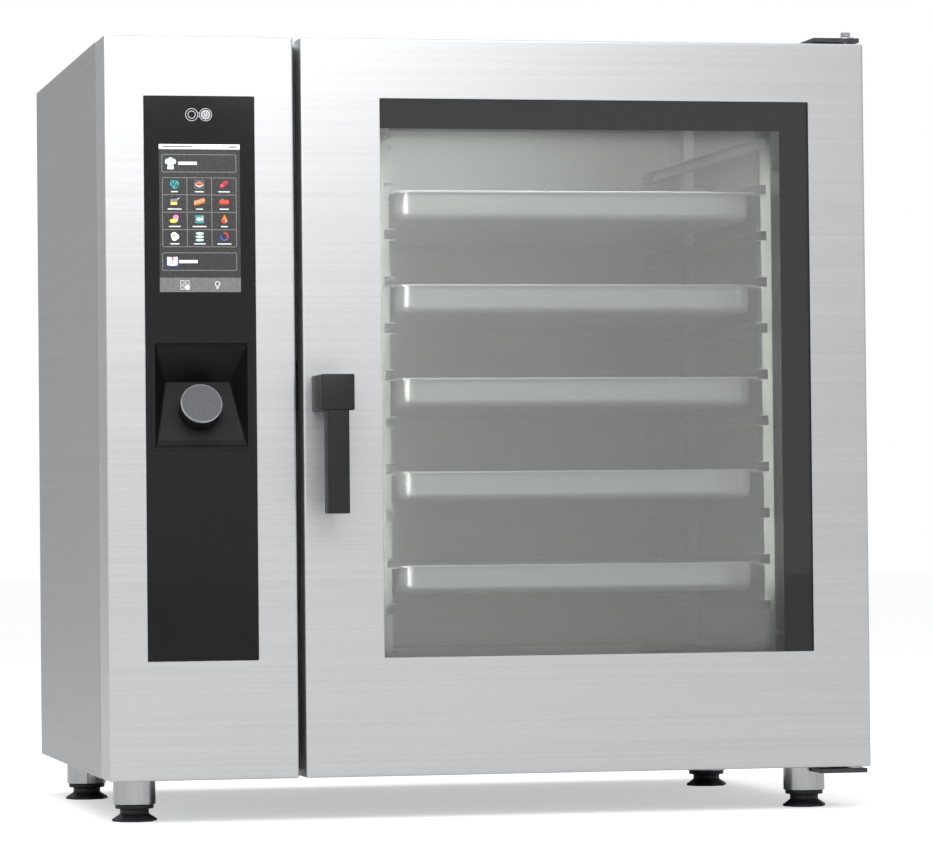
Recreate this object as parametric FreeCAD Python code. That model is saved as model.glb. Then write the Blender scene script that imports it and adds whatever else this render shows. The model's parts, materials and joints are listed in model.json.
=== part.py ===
"""Combi steamer oven with a control column, a glazed side-hung door and twelve tray levels.

Every piece is first built in workshop coordinates: x from the left side, y from the front face
towards the back, z up from the floor.  export() then moves it to the part's own frame, whose origin
is the middle of the whole oven's footprint, on the floor.  All sizes are millimetres.
"""
import FreeCAD, Part
import math
import os

V = FreeCAD.Vector

# ---- Driving dimensions: outer body ---------------------------------------------------------
body_width = 1050.0
body_height = 993.0
body_depth = 820.0
foot_clearance = 58.0
sheet = 1.5
chassis_sheet = 2.0
column_width = 255.0
side_seam_depth = 88.0
seam_gap = 2.5
rear_stub_projection = 30.0
panel_flange = 12.0
upstand_height = 30.0
frame_return = 10.5

# ---- Door -----------------------------------------------------------------------------------
door_gap = 10.0
door_thickness = 52.0
door_body_gap = 8.0
door_skin_return = 46.0
window_left_margin = 108.0
window_right_margin = 79.0
window_top_margin = 81.0
window_bottom_margin = 159.0
outer_glass = 5.0
inner_glass = 4.5
glass_overlap = 12.0
reveal_setback = 6.0
glass_lip = 5.0
glass_edge_clearance = 0.5
led_width = 4.0
led_depth = 12.0
led_length = 600.0

# ---- Hinges ---------------------------------------------------------------------------------
hinge_inset = 17.0
hinge_depth = 26.0
hinge_pin_radius = 5.0
hinge_running_clearance = 0.05
bush_wall = 5.0
hinge_block_size = 30.0
hinge_block_height = 25.0
bracket_thickness = 6.0
bracket_gap = 3.0
bracket_length = 65.0
bracket_rear_reach = 60.0
bracket_rear_width = 36.0
pin_head_radius = 7.0
pin_head_height = 6.0
washer_radius = 12.0
washer_height = 3.5
thrust_washer_gap = 0.3

# ---- Handle and latch -----------------------------------------------------------------------
handle_drop_from_top = 479.0
handle_inset = 33.6
handle_projection = 83.0
handle_block_width = 44.0
handle_block_height = 48.0
handle_stem_width = 29.0
handle_stem_depth = 32.0
handle_stem_length = 137.0
handle_face_gap = 0.5
handle_rounding = 1.5
handle_web = 12.0
spindle_radius = 8.0
spindle_socket_depth = 40.0
spindle_running_clearance = 0.05
handle_bush_radius = 14.0
spindle_hole_clearance = 0.5
latch_hub_radius = 14.0
latch_nose_reach = 32.0
latch_nose_width = 16.0
latch_nose_thickness = 8.0
latch_door_gap = 1.0
keeper_half_width = 36.0
keeper_height_below = 20.0
keeper_pin_radius = 3.0
keeper_pin_gap = 2.5
keeper_depth = 10.0

# ---- Cavity, racks and trays ----------------------------------------------------------------
cavity_right_margin = 86.0
cavity_left_margin = 45.0
cavity_bottom_margin = 105.0
cavity_top_margin = 58.0
insulation_thickness = 41.0
fan_chamber_width = 68.0
mouth_left_setback = 2.0
gasket_width = 14.0
gasket_setback = 2.0
gasket_door_gap = 0.4
tray_width = 530.0
tray_length = 650.0
tray_depth = 40.0
tray_sheet = 1.0
tray_rim_width = 12.0
tray_rim_lip = 3.0
tray_corner_radius = 26.0
tray_bottom_radius = 12.0
tray_front_inset = 37.0
tray_rear_gap = 8.0
level_count = 12
level_pitch = 64.2
first_level_above_floor = 59.9
tray_levels = range(1, level_count, 2)
channel_height = 16.2
channel_lap = 10.0
channel_side_play = 5.5
channel_seat_clearance = 0.3
upright_width = 15.0
upright_depth = 25.0
upright_lap = 9.0
rack_front_inset = 40.0
rack_upright_spacing = 425.0
rack_top_gap = 18.0
rack_stud_radius = 6.0
rack_stud_low = 77.0
rack_stud_high = 727.0

# ---- Fans and heating -----------------------------------------------------------------------
fan_radius = 150.0
fan_width = 50.0
fan_disc = 2.0
fan_blade_count = 12
fan_blade_inset = 3.0
fan_eye_radius = 95.0
fan_wall_gap = 6.0
fan_hub_radius = 18.0
fan_shaft_radius = 8.0
shaft_running_clearance = 0.05
shaft_wall_clearance = 4.0
fan_spacing = 400.0
fan_from_front = 420.0
motor_radius = 70.0
motor_length = 120.0
motor_flange_radius = 85.0
motor_flange_thickness = 6.0
baffle_edge_gap = 8.0
baffle_front_gap = 18.0
baffle_stud_radius = 5.0
baffle_stud_inset = 25.0
grille_slot_count = 16
grille_slot_width = 12.0
element_ring_radii = (170.0, 188.0)
element_tube_radius = 5.0
element_leg_thinner = 0.3
element_from_wall = 31.0
element_leg_tail = 10.0
element_hole_clearance = 0.5

# ---- Services -------------------------------------------------------------------------------
tank_width = 200.0
tank_length = 225.0
tank_height = 420.0
tank_rounding = 15.0
tank_wall = 2.5
tank_from_left = 25.0
tank_from_rear = 75.0
steam_pipe_radius = 14.0
steam_pipe_rise = 80.0
steam_pipe_bend = 45.0
pipe_wall = 2.0
pipe_collar = 3.0
steam_outlet_reach = 12.0
drain_radius = 25.0
drain_from_left = 600.0
drain_height = 52.0
drain_bend = 45.0
vent_radius = 30.0
vent_from_left = 800.0
vent_from_rear = 120.0
vent_rise = 48.0
vent_flap_thickness = 2.0
vent_flap_clearance = 0.5
vent_axle_radius = 3.0
vent_axle_clearance = 0.05
vent_axle_overhang = 2.0
vent_insulation_gap = 4.0
inlet_positions = (60.0, 110.0)
inlet_height = 70.0
inlet_thread_radius = 13.2
inlet_length = 22.0
inlet_collar_radius = 17.0
inlet_collar = 3.0
inlet_body = 30.0
gland_from_left = 180.0
gland_radius = 16.0
gland_neck_radius = 12.0
gland_bore_radius = 9.0
gland_length = 25.0
gland_nut = 8.0
screw_head_radius = 4.5
screw_head_height = 2.4
screw_radius = 2.0
screw_length = 8.0
screw_rows = 4

# ---- Control column -------------------------------------------------------------------------
panel_width = 148.0
panel_top_margin = 81.0
panel_bottom_margin = 159.0
panel_glass = 4.0
panel_clearance = 0.4
carrier_thickness = 7.5
carrier_lap = 8.0
screen_width = 109.0
screen_height = 197.5
screen_drop_from_top = 145.0
display_frame = 6.0
display_depth = 12.0
display_flange = 5.0
scoop_half_width = 62.0
scoop_height = 138.0
scoop_drop_from_top = 411.0
scoop_depth = 39.0
scoop_deepest_drop = 51.0
scoop_lip_height = 9.0
scoop_lip_depth = 6.0
scoop_side_draft = 18.0
scoop_wall = 2.5
scoop_rim_width = 5.5
scoop_rim_proud = 1.0
knob_radius = 28.0
knob_height = 25.0
knob_rounding = 1.5
knob_gap = 2.0
knob_stem_radius = 3.4
knob_stem_length = 14.0
knob_running_clearance = 0.05
rotor_radius = 6.0
rotor_length = 17.0
rotor_shoulder = 0.2
encoder_size = 30.0
encoder_hole_clearance = 3.0
board_length = 220.0
board_height = 420.0
board_thickness = 2.0
board_standoff = 18.0
board_from_front = 110.0
board_from_floor = 300.0

# ---- Feet -----------------------------------------------------------------------------------
foot_left_inset = 45.0
foot_right_inset = 70.0
foot_behind_frame = 32.0
foot_rear_position = 630.0
foot_tube_radius = 28.5
foot_tube_wall = 3.5
foot_tube_length = 35.0
foot_tube_cap = 4.0
foot_slide_clearance = 0.4
foot_stop_gap = 0.2
foot_collar = 5.5
foot_collar_radius = 26.0
foot_neck = 8.0
foot_neck_radius = 20.0
foot_base_radius = 31.0
foot_pad_height = 3.0
foot_stem_length = 27.0
foot_facets = 8

# ---- Derived places -------------------------------------------------------------------------
base_z = foot_clearance
top_z = base_z + body_height
deck_z = base_z + chassis_sheet
lid_z = top_z - sheet
rear_y = body_depth - sheet
front_frame_y = door_thickness + door_body_gap
frame_back_y = front_frame_y + sheet
door_x = column_width + door_gap
bulkhead_x = column_width + chassis_sheet
cavity_x0 = column_width + cavity_left_margin
cavity_x1 = body_width - cavity_right_margin
cavity_z0 = base_z + cavity_bottom_margin
cavity_z1 = top_z - cavity_top_margin
tray_y0 = front_frame_y + tray_front_inset
cavity_y1 = tray_y0 + tray_length + tray_rear_gap
baffle_x = cavity_x0 + fan_chamber_width
mouth_x0 = baffle_x + mouth_left_setback
tray_mid_x = (baffle_x + cavity_x1) / 2.0
window_x0 = door_x + window_left_margin
window_x1 = body_width - window_right_margin
window_z0 = base_z + window_bottom_margin
window_z1 = top_z - window_top_margin
hinge_x = body_width - hinge_inset
handle_x = door_x + handle_inset
handle_z = top_z - handle_drop_from_top
panel_mid_x = column_width / 2.0
panel_z0 = base_z + panel_bottom_margin
panel_z1 = top_z - panel_top_margin
fan_mid_z = (cavity_z0 + cavity_z1) / 2.0
fan_centres = {"upper": fan_mid_z + fan_spacing / 2.0, "lower": fan_mid_z - fan_spacing / 2.0}
vent_y = body_depth - vent_from_rear
drain_z = base_z + drain_height
scoop_top = top_z - scoop_drop_from_top
scoop_bottom = scoop_top - scoop_height
scoop_deep_z = scoop_top - scoop_deepest_drop
foot_front_y = front_frame_y + foot_behind_frame
foot_spots = {
    "front_left": (foot_left_inset, foot_front_y),
    "front_right": (body_width - foot_right_inset, foot_front_y),
    "rear_left": (foot_left_inset, foot_rear_position),
    "rear_right": (body_width - foot_right_inset, foot_rear_position),
}

# The origin is the middle of the footprint, handle and drain stub included.
origin = V(body_width / 2.0, (body_depth + rear_stub_projection - handle_projection) / 2.0, 0.0)


# ---- Shape helpers --------------------------------------------------------------------------
def box(x0, x1, y0, y1, z0, z1):
    """A block between three pairs of planes."""
    return Part.makeBox(x1 - x0, y1 - y0, z1 - z0, V(x0, y0, z0))


def rod(start, direction, radius, length):
    """A round bar that starts at a point and runs along a direction."""
    return Part.makeCylinder(radius, length, start, direction)


def pipe_piece(start, direction, outer, inner, length):
    """A straight tube."""
    return rod(start, direction, outer, length).cut(rod(start, direction, inner, length))


def joined(shapes):
    """One solid from pieces that meet."""
    shapes = list(shapes)
    return shapes[0].multiFuse(shapes[1:]).removeSplitter() if len(shapes) > 1 else shapes[0]


def ring(outer, inner, y0, y1):
    """A rectangular ring in the XZ plane; outer and inner are (x0, x1, z0, z1)."""
    solid = box(outer[0], outer[1], y0, y1, outer[2], outer[3])
    return solid.cut(box(inner[0], inner[1], y0 - 1, y1 + 1, inner[2], inner[3]))


def grown(rect, amount):
    """A rectangle (x0, x1, z0, z1) moved outwards on all four sides."""
    return (rect[0] - amount, rect[1] + amount, rect[2] - amount, rect[3] + amount)


def edges_along(shape, axis):
    """The straight edges of a shape that run along an axis."""
    found = []
    for edge in shape.Edges:
        if isinstance(edge.Curve, Part.Line) and abs(edge.Curve.Direction.dot(axis)) > 0.999:
            found.append(edge)
    return found


def swept_tube(points, bend, outer, inner):
    """A tube along straight runs joined by tangent arcs; an inner radius of 0 makes it solid."""
    edges = []
    start = points[0]
    for i in range(1, len(points) - 1):
        to_here = (points[i] - points[i - 1]).normalize()
        onward = (points[i + 1] - points[i]).normalize()
        setback = bend * math.tan(to_here.getAngle(onward) / 2.0)
        arc_start = points[i] - to_here * setback
        arc_end = points[i] + onward * setback
        inward = (onward - to_here).normalize()
        chord_mid = (arc_start + arc_end) * 0.5
        centre_gap = math.sqrt(bend ** 2 - (arc_end - arc_start).Length ** 2 / 4.0)
        arc_mid = chord_mid - inward * (bend - centre_gap)
        edges.append(Part.LineSegment(start, arc_start).toShape())
        edges.append(Part.Arc(arc_start, arc_mid, arc_end).toShape())
        start = arc_end
    edges.append(Part.LineSegment(start, points[-1]).toShape())
    path = Part.Wire(edges)
    direction = (points[1] - points[0]).normalize()
    solids = []
    for radius in (outer, inner):
        if radius:
            circle = Part.Wire(Part.makeCircle(radius, points[0], direction))
            solids.append(path.makePipeShell([circle], True, False))
    return solids[0].cut(solids[1]) if inner else solids[0]


def deck(z0, z1, front_y):
    """An L-shaped sheet that fills the footprint behind the column cover and the door."""
    main = box(column_width, body_width - sheet, front_y, rear_y, z0, z1)
    seam_y = side_seam_depth + seam_gap
    return joined([main, box(sheet, column_width, seam_y, rear_y, z0, z1)])


# ---- Chassis and outer sheets ---------------------------------------------------------------
def element_spots():
    """Where each heating ring's two legs cross the cavity wall: (y, z) pairs."""
    spots = []
    for centre_z in fan_centres.values():
        for radius in element_ring_radii:
            for side in (-1, 1):
                spots.append((fan_from_front, centre_z + side * radius))
    return spots


def tank_centre():
    """The steam tank's middle in plan."""
    rear = body_depth - tank_from_rear
    return tank_from_left + tank_width / 2.0, rear - tank_length / 2.0


def steam_axis_z():
    """Height of the steam pipe's level run."""
    return deck_z + tank_height + steam_pipe_rise


def left_wall_holes(x0, x1, shaft_gap, element_gap, steam_gap):
    """Cutters for the fan shafts, heater legs and steam pipe through an upright wall."""
    span = x1 - x0
    along = V(1, 0, 0)
    cutters = []
    for centre_z in fan_centres.values():
        start = V(x0, fan_from_front, centre_z)
        cutters.append(rod(start, along, fan_shaft_radius + shaft_gap, span))
    for leg_y, leg_z in element_spots():
        cutters.append(rod(V(x0, leg_y, leg_z), along, element_tube_radius + element_gap, span))
    steam_start = V(x0, tank_centre()[1], steam_axis_z())
    cutters.append(rod(steam_start, along, steam_pipe_radius + steam_gap, span))
    return cutters


def base_frame():
    """Floor pan, upstands, cavity rails and the wall between the column and the hot side."""
    side = body_width - sheet
    seam_y = side_seam_depth + seam_gap
    flange_y = seam_y + sheet
    rail_top = cavity_z0 - sheet - insulation_thickness
    parts = [deck(base_z, deck_z, frame_back_y)]
    parts.append(box(sheet, sheet + chassis_sheet, flange_y, rear_y, deck_z, deck_z + upstand_height))
    parts.append(box(side - chassis_sheet, side, frame_back_y + frame_return, rear_y,
                     deck_z, deck_z + upstand_height))
    bulkhead = box(column_width, bulkhead_x, frame_back_y, rear_y - chassis_sheet, deck_z, lid_z)
    reach = 1.0
    holes = left_wall_holes(column_width - reach, bulkhead_x + reach, shaft_wall_clearance,
                            element_hole_clearance, shaft_wall_clearance)
    parts.append(bulkhead.cut(holes))
    rail_width = 20.0
    for rail_x in (cavity_x0 + rail_width, cavity_x1 - 2 * rail_width):
        outer = box(rail_x, rail_x + rail_width, frame_back_y + frame_return,
                    cavity_y1, deck_z, rail_top)
        hollow = box(rail_x + chassis_sheet, rail_x + rail_width - chassis_sheet, 0,
                     body_depth, deck_z, rail_top - chassis_sheet)
        parts.append(outer.cut(hollow))
    return joined(parts)


def side_panel(outer_x, inward, front_y):
    """A flat side sheet with a folded flange at its front and rear edge."""
    def span(a, b, y0, y1, z0, z1):
        xa = outer_x + inward * a
        xb = outer_x + inward * b
        return box(min(xa, xb), max(xa, xb), y0, y1, z0, z1)
    low = deck_z + upstand_height
    panel = span(0, sheet, front_y, body_depth, base_z, top_z)
    front_fold = span(sheet, sheet + panel_flange, front_y, front_y + sheet, low, lid_z)
    rear_fold = span(sheet, sheet + panel_flange, rear_y - sheet, rear_y, low, lid_z)
    solid = joined([panel, rear_fold] + ([front_fold] if inward > 0 else []))
    return solid.cut([screw_cutter(spot) for spot in screw_spots()])


def screw_spots():
    """Rear panel screws: a column of them through each side panel's rear flange."""
    low = deck_z + 2 * upstand_height
    step = (lid_z - 2 * upstand_height - low) / (screw_rows - 1)
    inset = sheet + panel_flange / 2.0
    columns = (inset, body_width - inset)
    return [(x, low + step * row) for x in columns for row in range(screw_rows)]


def screw_cutter(spot):
    """The hole that a rear panel screw passes."""
    return rod(V(spot[0], body_depth, spot[1]), V(0, -1, 0), screw_radius, screw_length)


def panel_screws():
    """Pan-head screws that hold the rear panel."""
    screws = []
    for spot in screw_spots():
        head = rod(V(spot[0], body_depth, spot[1]), V(0, 1, 0), screw_head_radius, screw_head_height)
        screws.append(joined([head, screw_cutter(spot)]))
    return Part.makeCompound(screws)


def rear_panel():
    """Back sheet with the service holes and cooling slots behind the column."""
    panel = box(sheet, body_width - sheet, rear_y, body_depth, base_z, top_z)
    back = V(0, 1, 0)
    cutters = [screw_cutter(spot) for spot in screw_spots()]
    cutters.append(rod(V(drain_from_left, rear_y - 1, drain_z), back, drain_radius, sheet + 2))
    for inlet_x in inlet_positions:
        spot = V(inlet_x, rear_y - 1, base_z + inlet_height)
        cutters.append(rod(spot, back, inlet_thread_radius, sheet + 2))
    spot = V(gland_from_left, rear_y - 1, base_z + inlet_height)
    cutters.append(rod(spot, back, gland_neck_radius, sheet + 2))
    slot_count = 10
    slot_height = 6.0
    slot_pitch = 16.0
    slot_length = 120.0
    slot_left = panel_mid_x - slot_length / 2.0
    first_slot_z = base_z + body_height / 2.0
    for i in range(slot_count):
        z = first_slot_z + i * slot_pitch
        cutters.append(box(slot_left, slot_left + slot_length, rear_y - 1, body_depth + 1,
                           z, z + slot_height))
    return panel.cut(cutters)


def top_cover():
    """Lid sheet with the vent hole."""
    lid = deck(lid_z, top_z, front_frame_y)
    hole = rod(V(vent_from_left, vent_y, lid_z - 1), V(0, 0, 1), vent_radius, sheet + 2)
    return lid.cut(hole)


def column_fascia():
    """Folded front cover of the control column with the opening for the control glass."""
    shell = box(0, column_width, 0, side_seam_depth, base_z, top_z)
    hollow = box(sheet, column_width - sheet, sheet, side_seam_depth + 1, base_z + sheet, lid_z)
    right_trim = box(column_width - sheet, column_width, frame_back_y + panel_flange,
                     side_seam_depth, base_z, top_z)
    half = panel_width / 2.0 + panel_clearance
    opening = box(panel_mid_x - half, panel_mid_x + half, -1, sheet + 1,
                  panel_z0 - panel_clearance, panel_z1 + panel_clearance)
    return shell.cut([hollow, opening, right_trim])


# ---- Cavity side ----------------------------------------------------------------------------
def mouth():
    """The cavity's front opening (x0, x1, z0, z1)."""
    return (mouth_x0, cavity_x1, cavity_z0, cavity_z1)


def keeper_rect():
    """The latch pocket's opening in the front frame (x0, x1, z0, z1)."""
    pin_top = latch_nose_reach + keeper_pin_gap + 4 * keeper_pin_radius
    return (handle_x - keeper_half_width, handle_x + keeper_half_width,
            handle_z - keeper_height_below, handle_z + pin_top)


def keeper_block():
    """The latch pocket's outer block, which the cavity wall and the wool make room for."""
    outer = grown(keeper_rect(), chassis_sheet)
    return box(outer[0], outer[1], frame_back_y, frame_back_y + keeper_depth, outer[2], outer[3])


def front_frame():
    """Jamb that the door closes against, folded back at its outer edge."""
    outer = (bulkhead_x, body_width - sheet, deck_z, lid_z)
    plate = ring((column_width, outer[1], outer[2], outer[3]), mouth(), front_frame_y, frame_back_y)
    fold = ring(outer, grown(outer, -sheet), frame_back_y, frame_back_y + frame_return)
    pocket = keeper_rect()
    hole = box(pocket[0], pocket[1], front_frame_y - 1, frame_back_y + 1, pocket[2], pocket[3])
    return joined([plate, fold]).cut(hole)


def oven_cavity():
    """Welded cavity box, open at the front."""
    outer = box(cavity_x0 - sheet, cavity_x1 + sheet, frame_back_y, cavity_y1 + sheet,
                cavity_z0 - sheet, cavity_z1 + sheet)
    inner = box(cavity_x0, cavity_x1, frame_back_y - 1, cavity_y1, cavity_z0, cavity_z1)
    up = V(0, 0, 1)
    cutters = [inner, keeper_block()]
    cutters += left_wall_holes(cavity_x0 - 3, cavity_x0 + 1, shaft_wall_clearance / 2.0, 0.0, 0.0)
    cutters.append(rod(V(drain_from_left, fan_from_front, cavity_z0 - 3), up,
                       drain_radius - pipe_wall, 4))
    cutters.append(rod(V(vent_from_left, vent_y, cavity_z1 - 1), up, vent_radius - pipe_wall, 4))
    return outer.cut(cutters)


def drain_route():
    """Centre line of the drain: down from the cavity floor and out at the back."""
    return [V(drain_from_left, fan_from_front, cavity_z0 - sheet),
            V(drain_from_left, fan_from_front, drain_z),
            V(drain_from_left, body_depth + rear_stub_projection, drain_z)]


def cavity_insulation():
    """Mineral wool blanket round the cavity, with clearance for what passes through it."""
    t = insulation_thickness
    front_y = frame_back_y + frame_return
    outer = box(cavity_x0 - sheet - t, cavity_x1 + sheet + t, front_y, cavity_y1 + sheet + t,
                cavity_z0 - sheet - t, cavity_z1 + sheet + t)
    inner = box(cavity_x0 - sheet, cavity_x1 + sheet, front_y - 1, cavity_y1 + sheet,
                cavity_z0 - sheet, cavity_z1 + sheet)
    cutters = [inner]
    cutters += left_wall_holes(cavity_x0 - t - 5, cavity_x0, shaft_wall_clearance,
                               element_hole_clearance, 1.0)
    gap = 1.0
    cutters.append(swept_tube(drain_route(), drain_bend, drain_radius + gap, 0))
    cutters.append(keeper_block())
    cutters.append(rod(drain_route()[0], V(0, 0, -1), drain_radius + gap, t + sheet))
    cutters.append(rod(V(vent_from_left, vent_y, cavity_z1), V(0, 0, 1),
                       vent_radius + vent_insulation_gap, t + 10))
    return outer.cut(cutters)


def door_gasket():
    """Seal round the cavity mouth, just clear of the closed door."""
    inner = grown(mouth(), gasket_setback)
    outer = grown(inner, gasket_width)
    seal = ring(outer, inner, door_thickness + gasket_door_gap, front_frame_y)
    lobe = ring(grown(outer, -gasket_width * 0.38), grown(inner, gasket_width * 0.38),
                door_thickness, door_thickness + 3 * gasket_door_gap)
    return seal.cut(lobe)


def fan_baffle():
    """Screen between the fan chamber and the trays, with a suction grille at each fan."""
    plate = box(baffle_x - sheet, baffle_x, frame_back_y + baffle_front_gap,
                cavity_y1 - baffle_edge_gap, cavity_z0 + baffle_edge_gap, cavity_z1 - baffle_edge_gap)
    cutters = []
    inner_r = fan_eye_radius * 0.45
    for centre_z in fan_centres.values():
        for i in range(grille_slot_count):
            slot = box(baffle_x - 3, baffle_x + 2, -grille_slot_width / 2.0, grille_slot_width / 2.0,
                       inner_r, fan_eye_radius)
            slot.rotate(V(0, 0, 0), V(1, 0, 0), i * 360.0 / grille_slot_count)
            slot.translate(V(0, fan_from_front, centre_z))
            cutters.append(slot)
    parts = [plate.cut(cutters)]
    inset = baffle_stud_inset
    for y in (frame_back_y + baffle_front_gap + inset, cavity_y1 - baffle_edge_gap - inset):
        for z in (cavity_z0 + baffle_edge_gap + inset, cavity_z1 - baffle_edge_gap - inset):
            parts.append(rod(V(cavity_x0, y, z), V(1, 0, 0), baffle_stud_radius,
                             fan_chamber_width - sheet))
    return joined(parts)


def level_top(level):
    """Top edge of a runner channel; level 0 is the highest."""
    return cavity_z0 + first_level_above_floor + level_pitch * (level_count - 1 - level)


def toward(side, distance_from_mid):
    """An x place to the left (-1) or right (+1) of the trays' middle."""
    return tray_mid_x + side * distance_from_mid


def side_box(side, near, far, y0, y1, z0, z1):
    """A block between two distances from the trays' middle, on one side."""
    xs = sorted((toward(side, near), toward(side, far)))
    return box(xs[0], xs[1], y0, y1, z0, z1)


def runner_envelope(side, level):
    """The outer block of one runner channel."""
    tip = tray_width / 2.0 - channel_lap
    web = tray_width / 2.0 + channel_side_play + sheet
    return side_box(side, tip, web, tray_y0, cavity_y1 - channel_side_play,
                    level_top(level) - channel_height, level_top(level))


def rack_runners(side):
    """Twelve channels that carry the tray rims."""
    channels = []
    for level in range(level_count):
        top = level_top(level)
        tip = tray_width / 2.0 - channel_lap
        inside = side_box(side, tip - 1, tray_width / 2.0 + channel_side_play, 0, body_depth,
                          top - channel_height + sheet, top - sheet)
        channels.append(runner_envelope(side, level).cut(inside))
    return Part.makeCompound(channels)


def rack_uprights(side):
    """Two folded uprights, notched for the channels, with studs to the cavity wall."""
    near = tray_width / 2.0 + channel_side_play + sheet - upright_lap
    far = near + upright_width
    wall = (cavity_x1 - baffle_x) / 2.0
    top = cavity_z1 - rack_top_gap
    notches = [runner_envelope(side, level) for level in range(level_count)]
    uprights = []
    for i in range(2):
        y = front_frame_y + rack_front_inset + i * rack_upright_spacing
        profile = side_box(side, near, far, y, y + upright_depth, cavity_z0, top)
        profile = profile.cut(side_box(side, near - 1, far - sheet, y + sheet,
                                       y + upright_depth - sheet, 0, top + 1))
        solids = [profile.cut(notches)]
        for height in (rack_stud_low, rack_stud_high):
            start = V(toward(side, far), y + upright_depth / 2.0, cavity_z0 + height)
            solids.append(rod(start, V(side, 0, 0), rack_stud_radius, wall - far))
        uprights.append(joined(solids))
    return Part.makeCompound(uprights)


def pan_block(x0, x1, y0, y1, z0, z1, corner, bottom):
    """A block with rounded upright edges and a rounded underside."""
    block = box(x0, x1, y0, y1, z0, z1)
    block = block.makeFillet(corner, edges_along(block, V(0, 0, 1)))
    lower = [e for e in block.Edges if abs(e.BoundBox.ZMin - z0) < 0.01 and e.BoundBox.ZLength < 0.01]
    return block.makeFillet(bottom, lower)


def gn_tray(level):
    """A pressed pan with a turned-down rim, resting in its pair of channels."""
    seat = level_top(level) - channel_height + sheet + channel_seat_clearance
    rim_top = seat + tray_rim_lip
    x0 = tray_mid_x - tray_width / 2.0
    x1 = tray_mid_x + tray_width / 2.0
    y0 = tray_y0
    y1 = y0 + tray_length
    t = tray_sheet
    w = tray_rim_width
    outer = pan_block(x0 + w, x1 - w, y0 + w, y1 - w, rim_top - tray_depth, rim_top,
                      tray_corner_radius, tray_bottom_radius)
    inner = pan_block(x0 + w + t, x1 - w - t, y0 + w + t, y1 - w - t,
                      rim_top - tray_depth + t, rim_top + tray_depth,
                      tray_corner_radius - t, tray_bottom_radius - t)
    rim = box(x0, x1, y0, y1, seat, rim_top)
    rim = rim.makeFillet(tray_corner_radius + w, edges_along(rim, V(0, 0, 1)))
    under = box(x0 + t, x1 - t, y0 + t, y1 - t, seat - 1, rim_top - t)
    under = under.makeFillet(tray_corner_radius + w - t, edges_along(under, V(0, 0, 1)))
    return joined([rim.cut(under), outer]).cut(inner)


# ---- Fans, heating and steam ----------------------------------------------------------------
def fan_motors():
    """Two flange motors on the column side of the bulkhead."""
    motors = []
    along = V(1, 0, 0)
    for centre_z in fan_centres.values():
        start = V(column_width - motor_length, fan_from_front, centre_z)
        body = rod(start, along, motor_radius, motor_length)
        flange = rod(V(column_width - motor_flange_thickness, fan_from_front, centre_z), along,
                     motor_flange_radius, motor_flange_thickness)
        terminal = box(start.x + 30, start.x + 80, fan_from_front - 25, fan_from_front + 25,
                       centre_z + motor_radius - 10, centre_z + motor_radius + 20)
        bore = rod(V(start.x + 15, fan_from_front, centre_z), along,
                   fan_shaft_radius + shaft_running_clearance, motor_length)
        motors.append(joined([body, flange, terminal]).cut(bore))
    return Part.makeCompound(motors)


def fan_wheel(centre_z):
    """Radial wheel: back disc, blades, front ring, hub and shaft."""
    along = V(1, 0, 0)
    x0 = cavity_x0 + fan_wall_gap
    x1 = x0 + fan_width
    centre = V(x0, 0, 0)
    parts = [rod(centre, along, fan_radius, fan_disc)]
    parts.append(rod(centre, along, fan_hub_radius, fan_width * 0.6))
    parts.append(pipe_piece(V(x1 - fan_disc, 0, 0), along, fan_radius, fan_eye_radius, fan_disc))
    for i in range(fan_blade_count):
        blade = box(x0 + fan_disc, x1 - fan_disc, -fan_disc / 2.0, fan_disc / 2.0,
                    fan_eye_radius + fan_blade_inset, fan_radius - fan_blade_inset)
        blade.rotate(V(0, 0, 0), along, i * 360.0 / fan_blade_count)
        parts.append(blade)
    shaft_start = column_width - motor_length + 20
    parts.append(rod(V(shaft_start, 0, 0), along, fan_shaft_radius, x0 - shaft_start))
    wheel = joined(parts)
    wheel.translate(V(0, fan_from_front, centre_z))
    return wheel


def heating_elements():
    """Two tubular rings round each fan, their legs crossing to the column side."""
    x = cavity_x0 + element_from_wall
    tail = column_width - element_leg_tail
    leg_radius = element_tube_radius - element_leg_thinner
    rings = []
    for centre_z in fan_centres.values():
        for radius in element_ring_radii:
            solids = [Part.makeTorus(radius, element_tube_radius, V(x, 0, 0), V(1, 0, 0))]
            for side in (-1, 1):
                start = V(tail, 0, side * radius)
                solids.append(rod(start, V(1, 0, 0), leg_radius, x - tail))
            ring_with_legs = joined(solids)
            ring_with_legs.translate(V(0, fan_from_front, centre_z))
            rings.append(ring_with_legs)
    return Part.makeCompound(rings)


def steam_generator():
    """Boiler tank with a bolted lid, standing on the floor pan."""
    rear = body_depth - tank_from_rear
    x1 = tank_from_left + tank_width
    tank = box(tank_from_left, x1, rear - tank_length, rear, deck_z, deck_z + tank_height)
    tank = tank.makeFillet(tank_rounding, edges_along(tank, V(0, 0, 1)))
    hollow = box(tank_from_left + tank_wall, x1 - tank_wall, rear - tank_length + tank_wall,
                 rear - tank_wall, deck_z + tank_wall, deck_z + tank_height - tank_wall)
    hollow = hollow.makeFillet(tank_rounding - tank_wall, edges_along(hollow, V(0, 0, 1)))
    x, y = tank_centre()
    outlet = rod(V(x, y, deck_z + tank_height - 2 * tank_wall), V(0, 0, 1),
                 steam_pipe_radius - pipe_wall, 4 * tank_wall)
    lap = 4.0
    lid_thickness = 6.0
    lid_gap = 20.0
    flange = box(tank_from_left - lap, x1 + lap, rear - tank_length - lap, rear + lap,
                 deck_z + tank_height - lid_gap - lid_thickness, deck_z + tank_height - lid_gap)
    return joined([tank, flange]).cut(hollow).cut(outlet)


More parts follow.
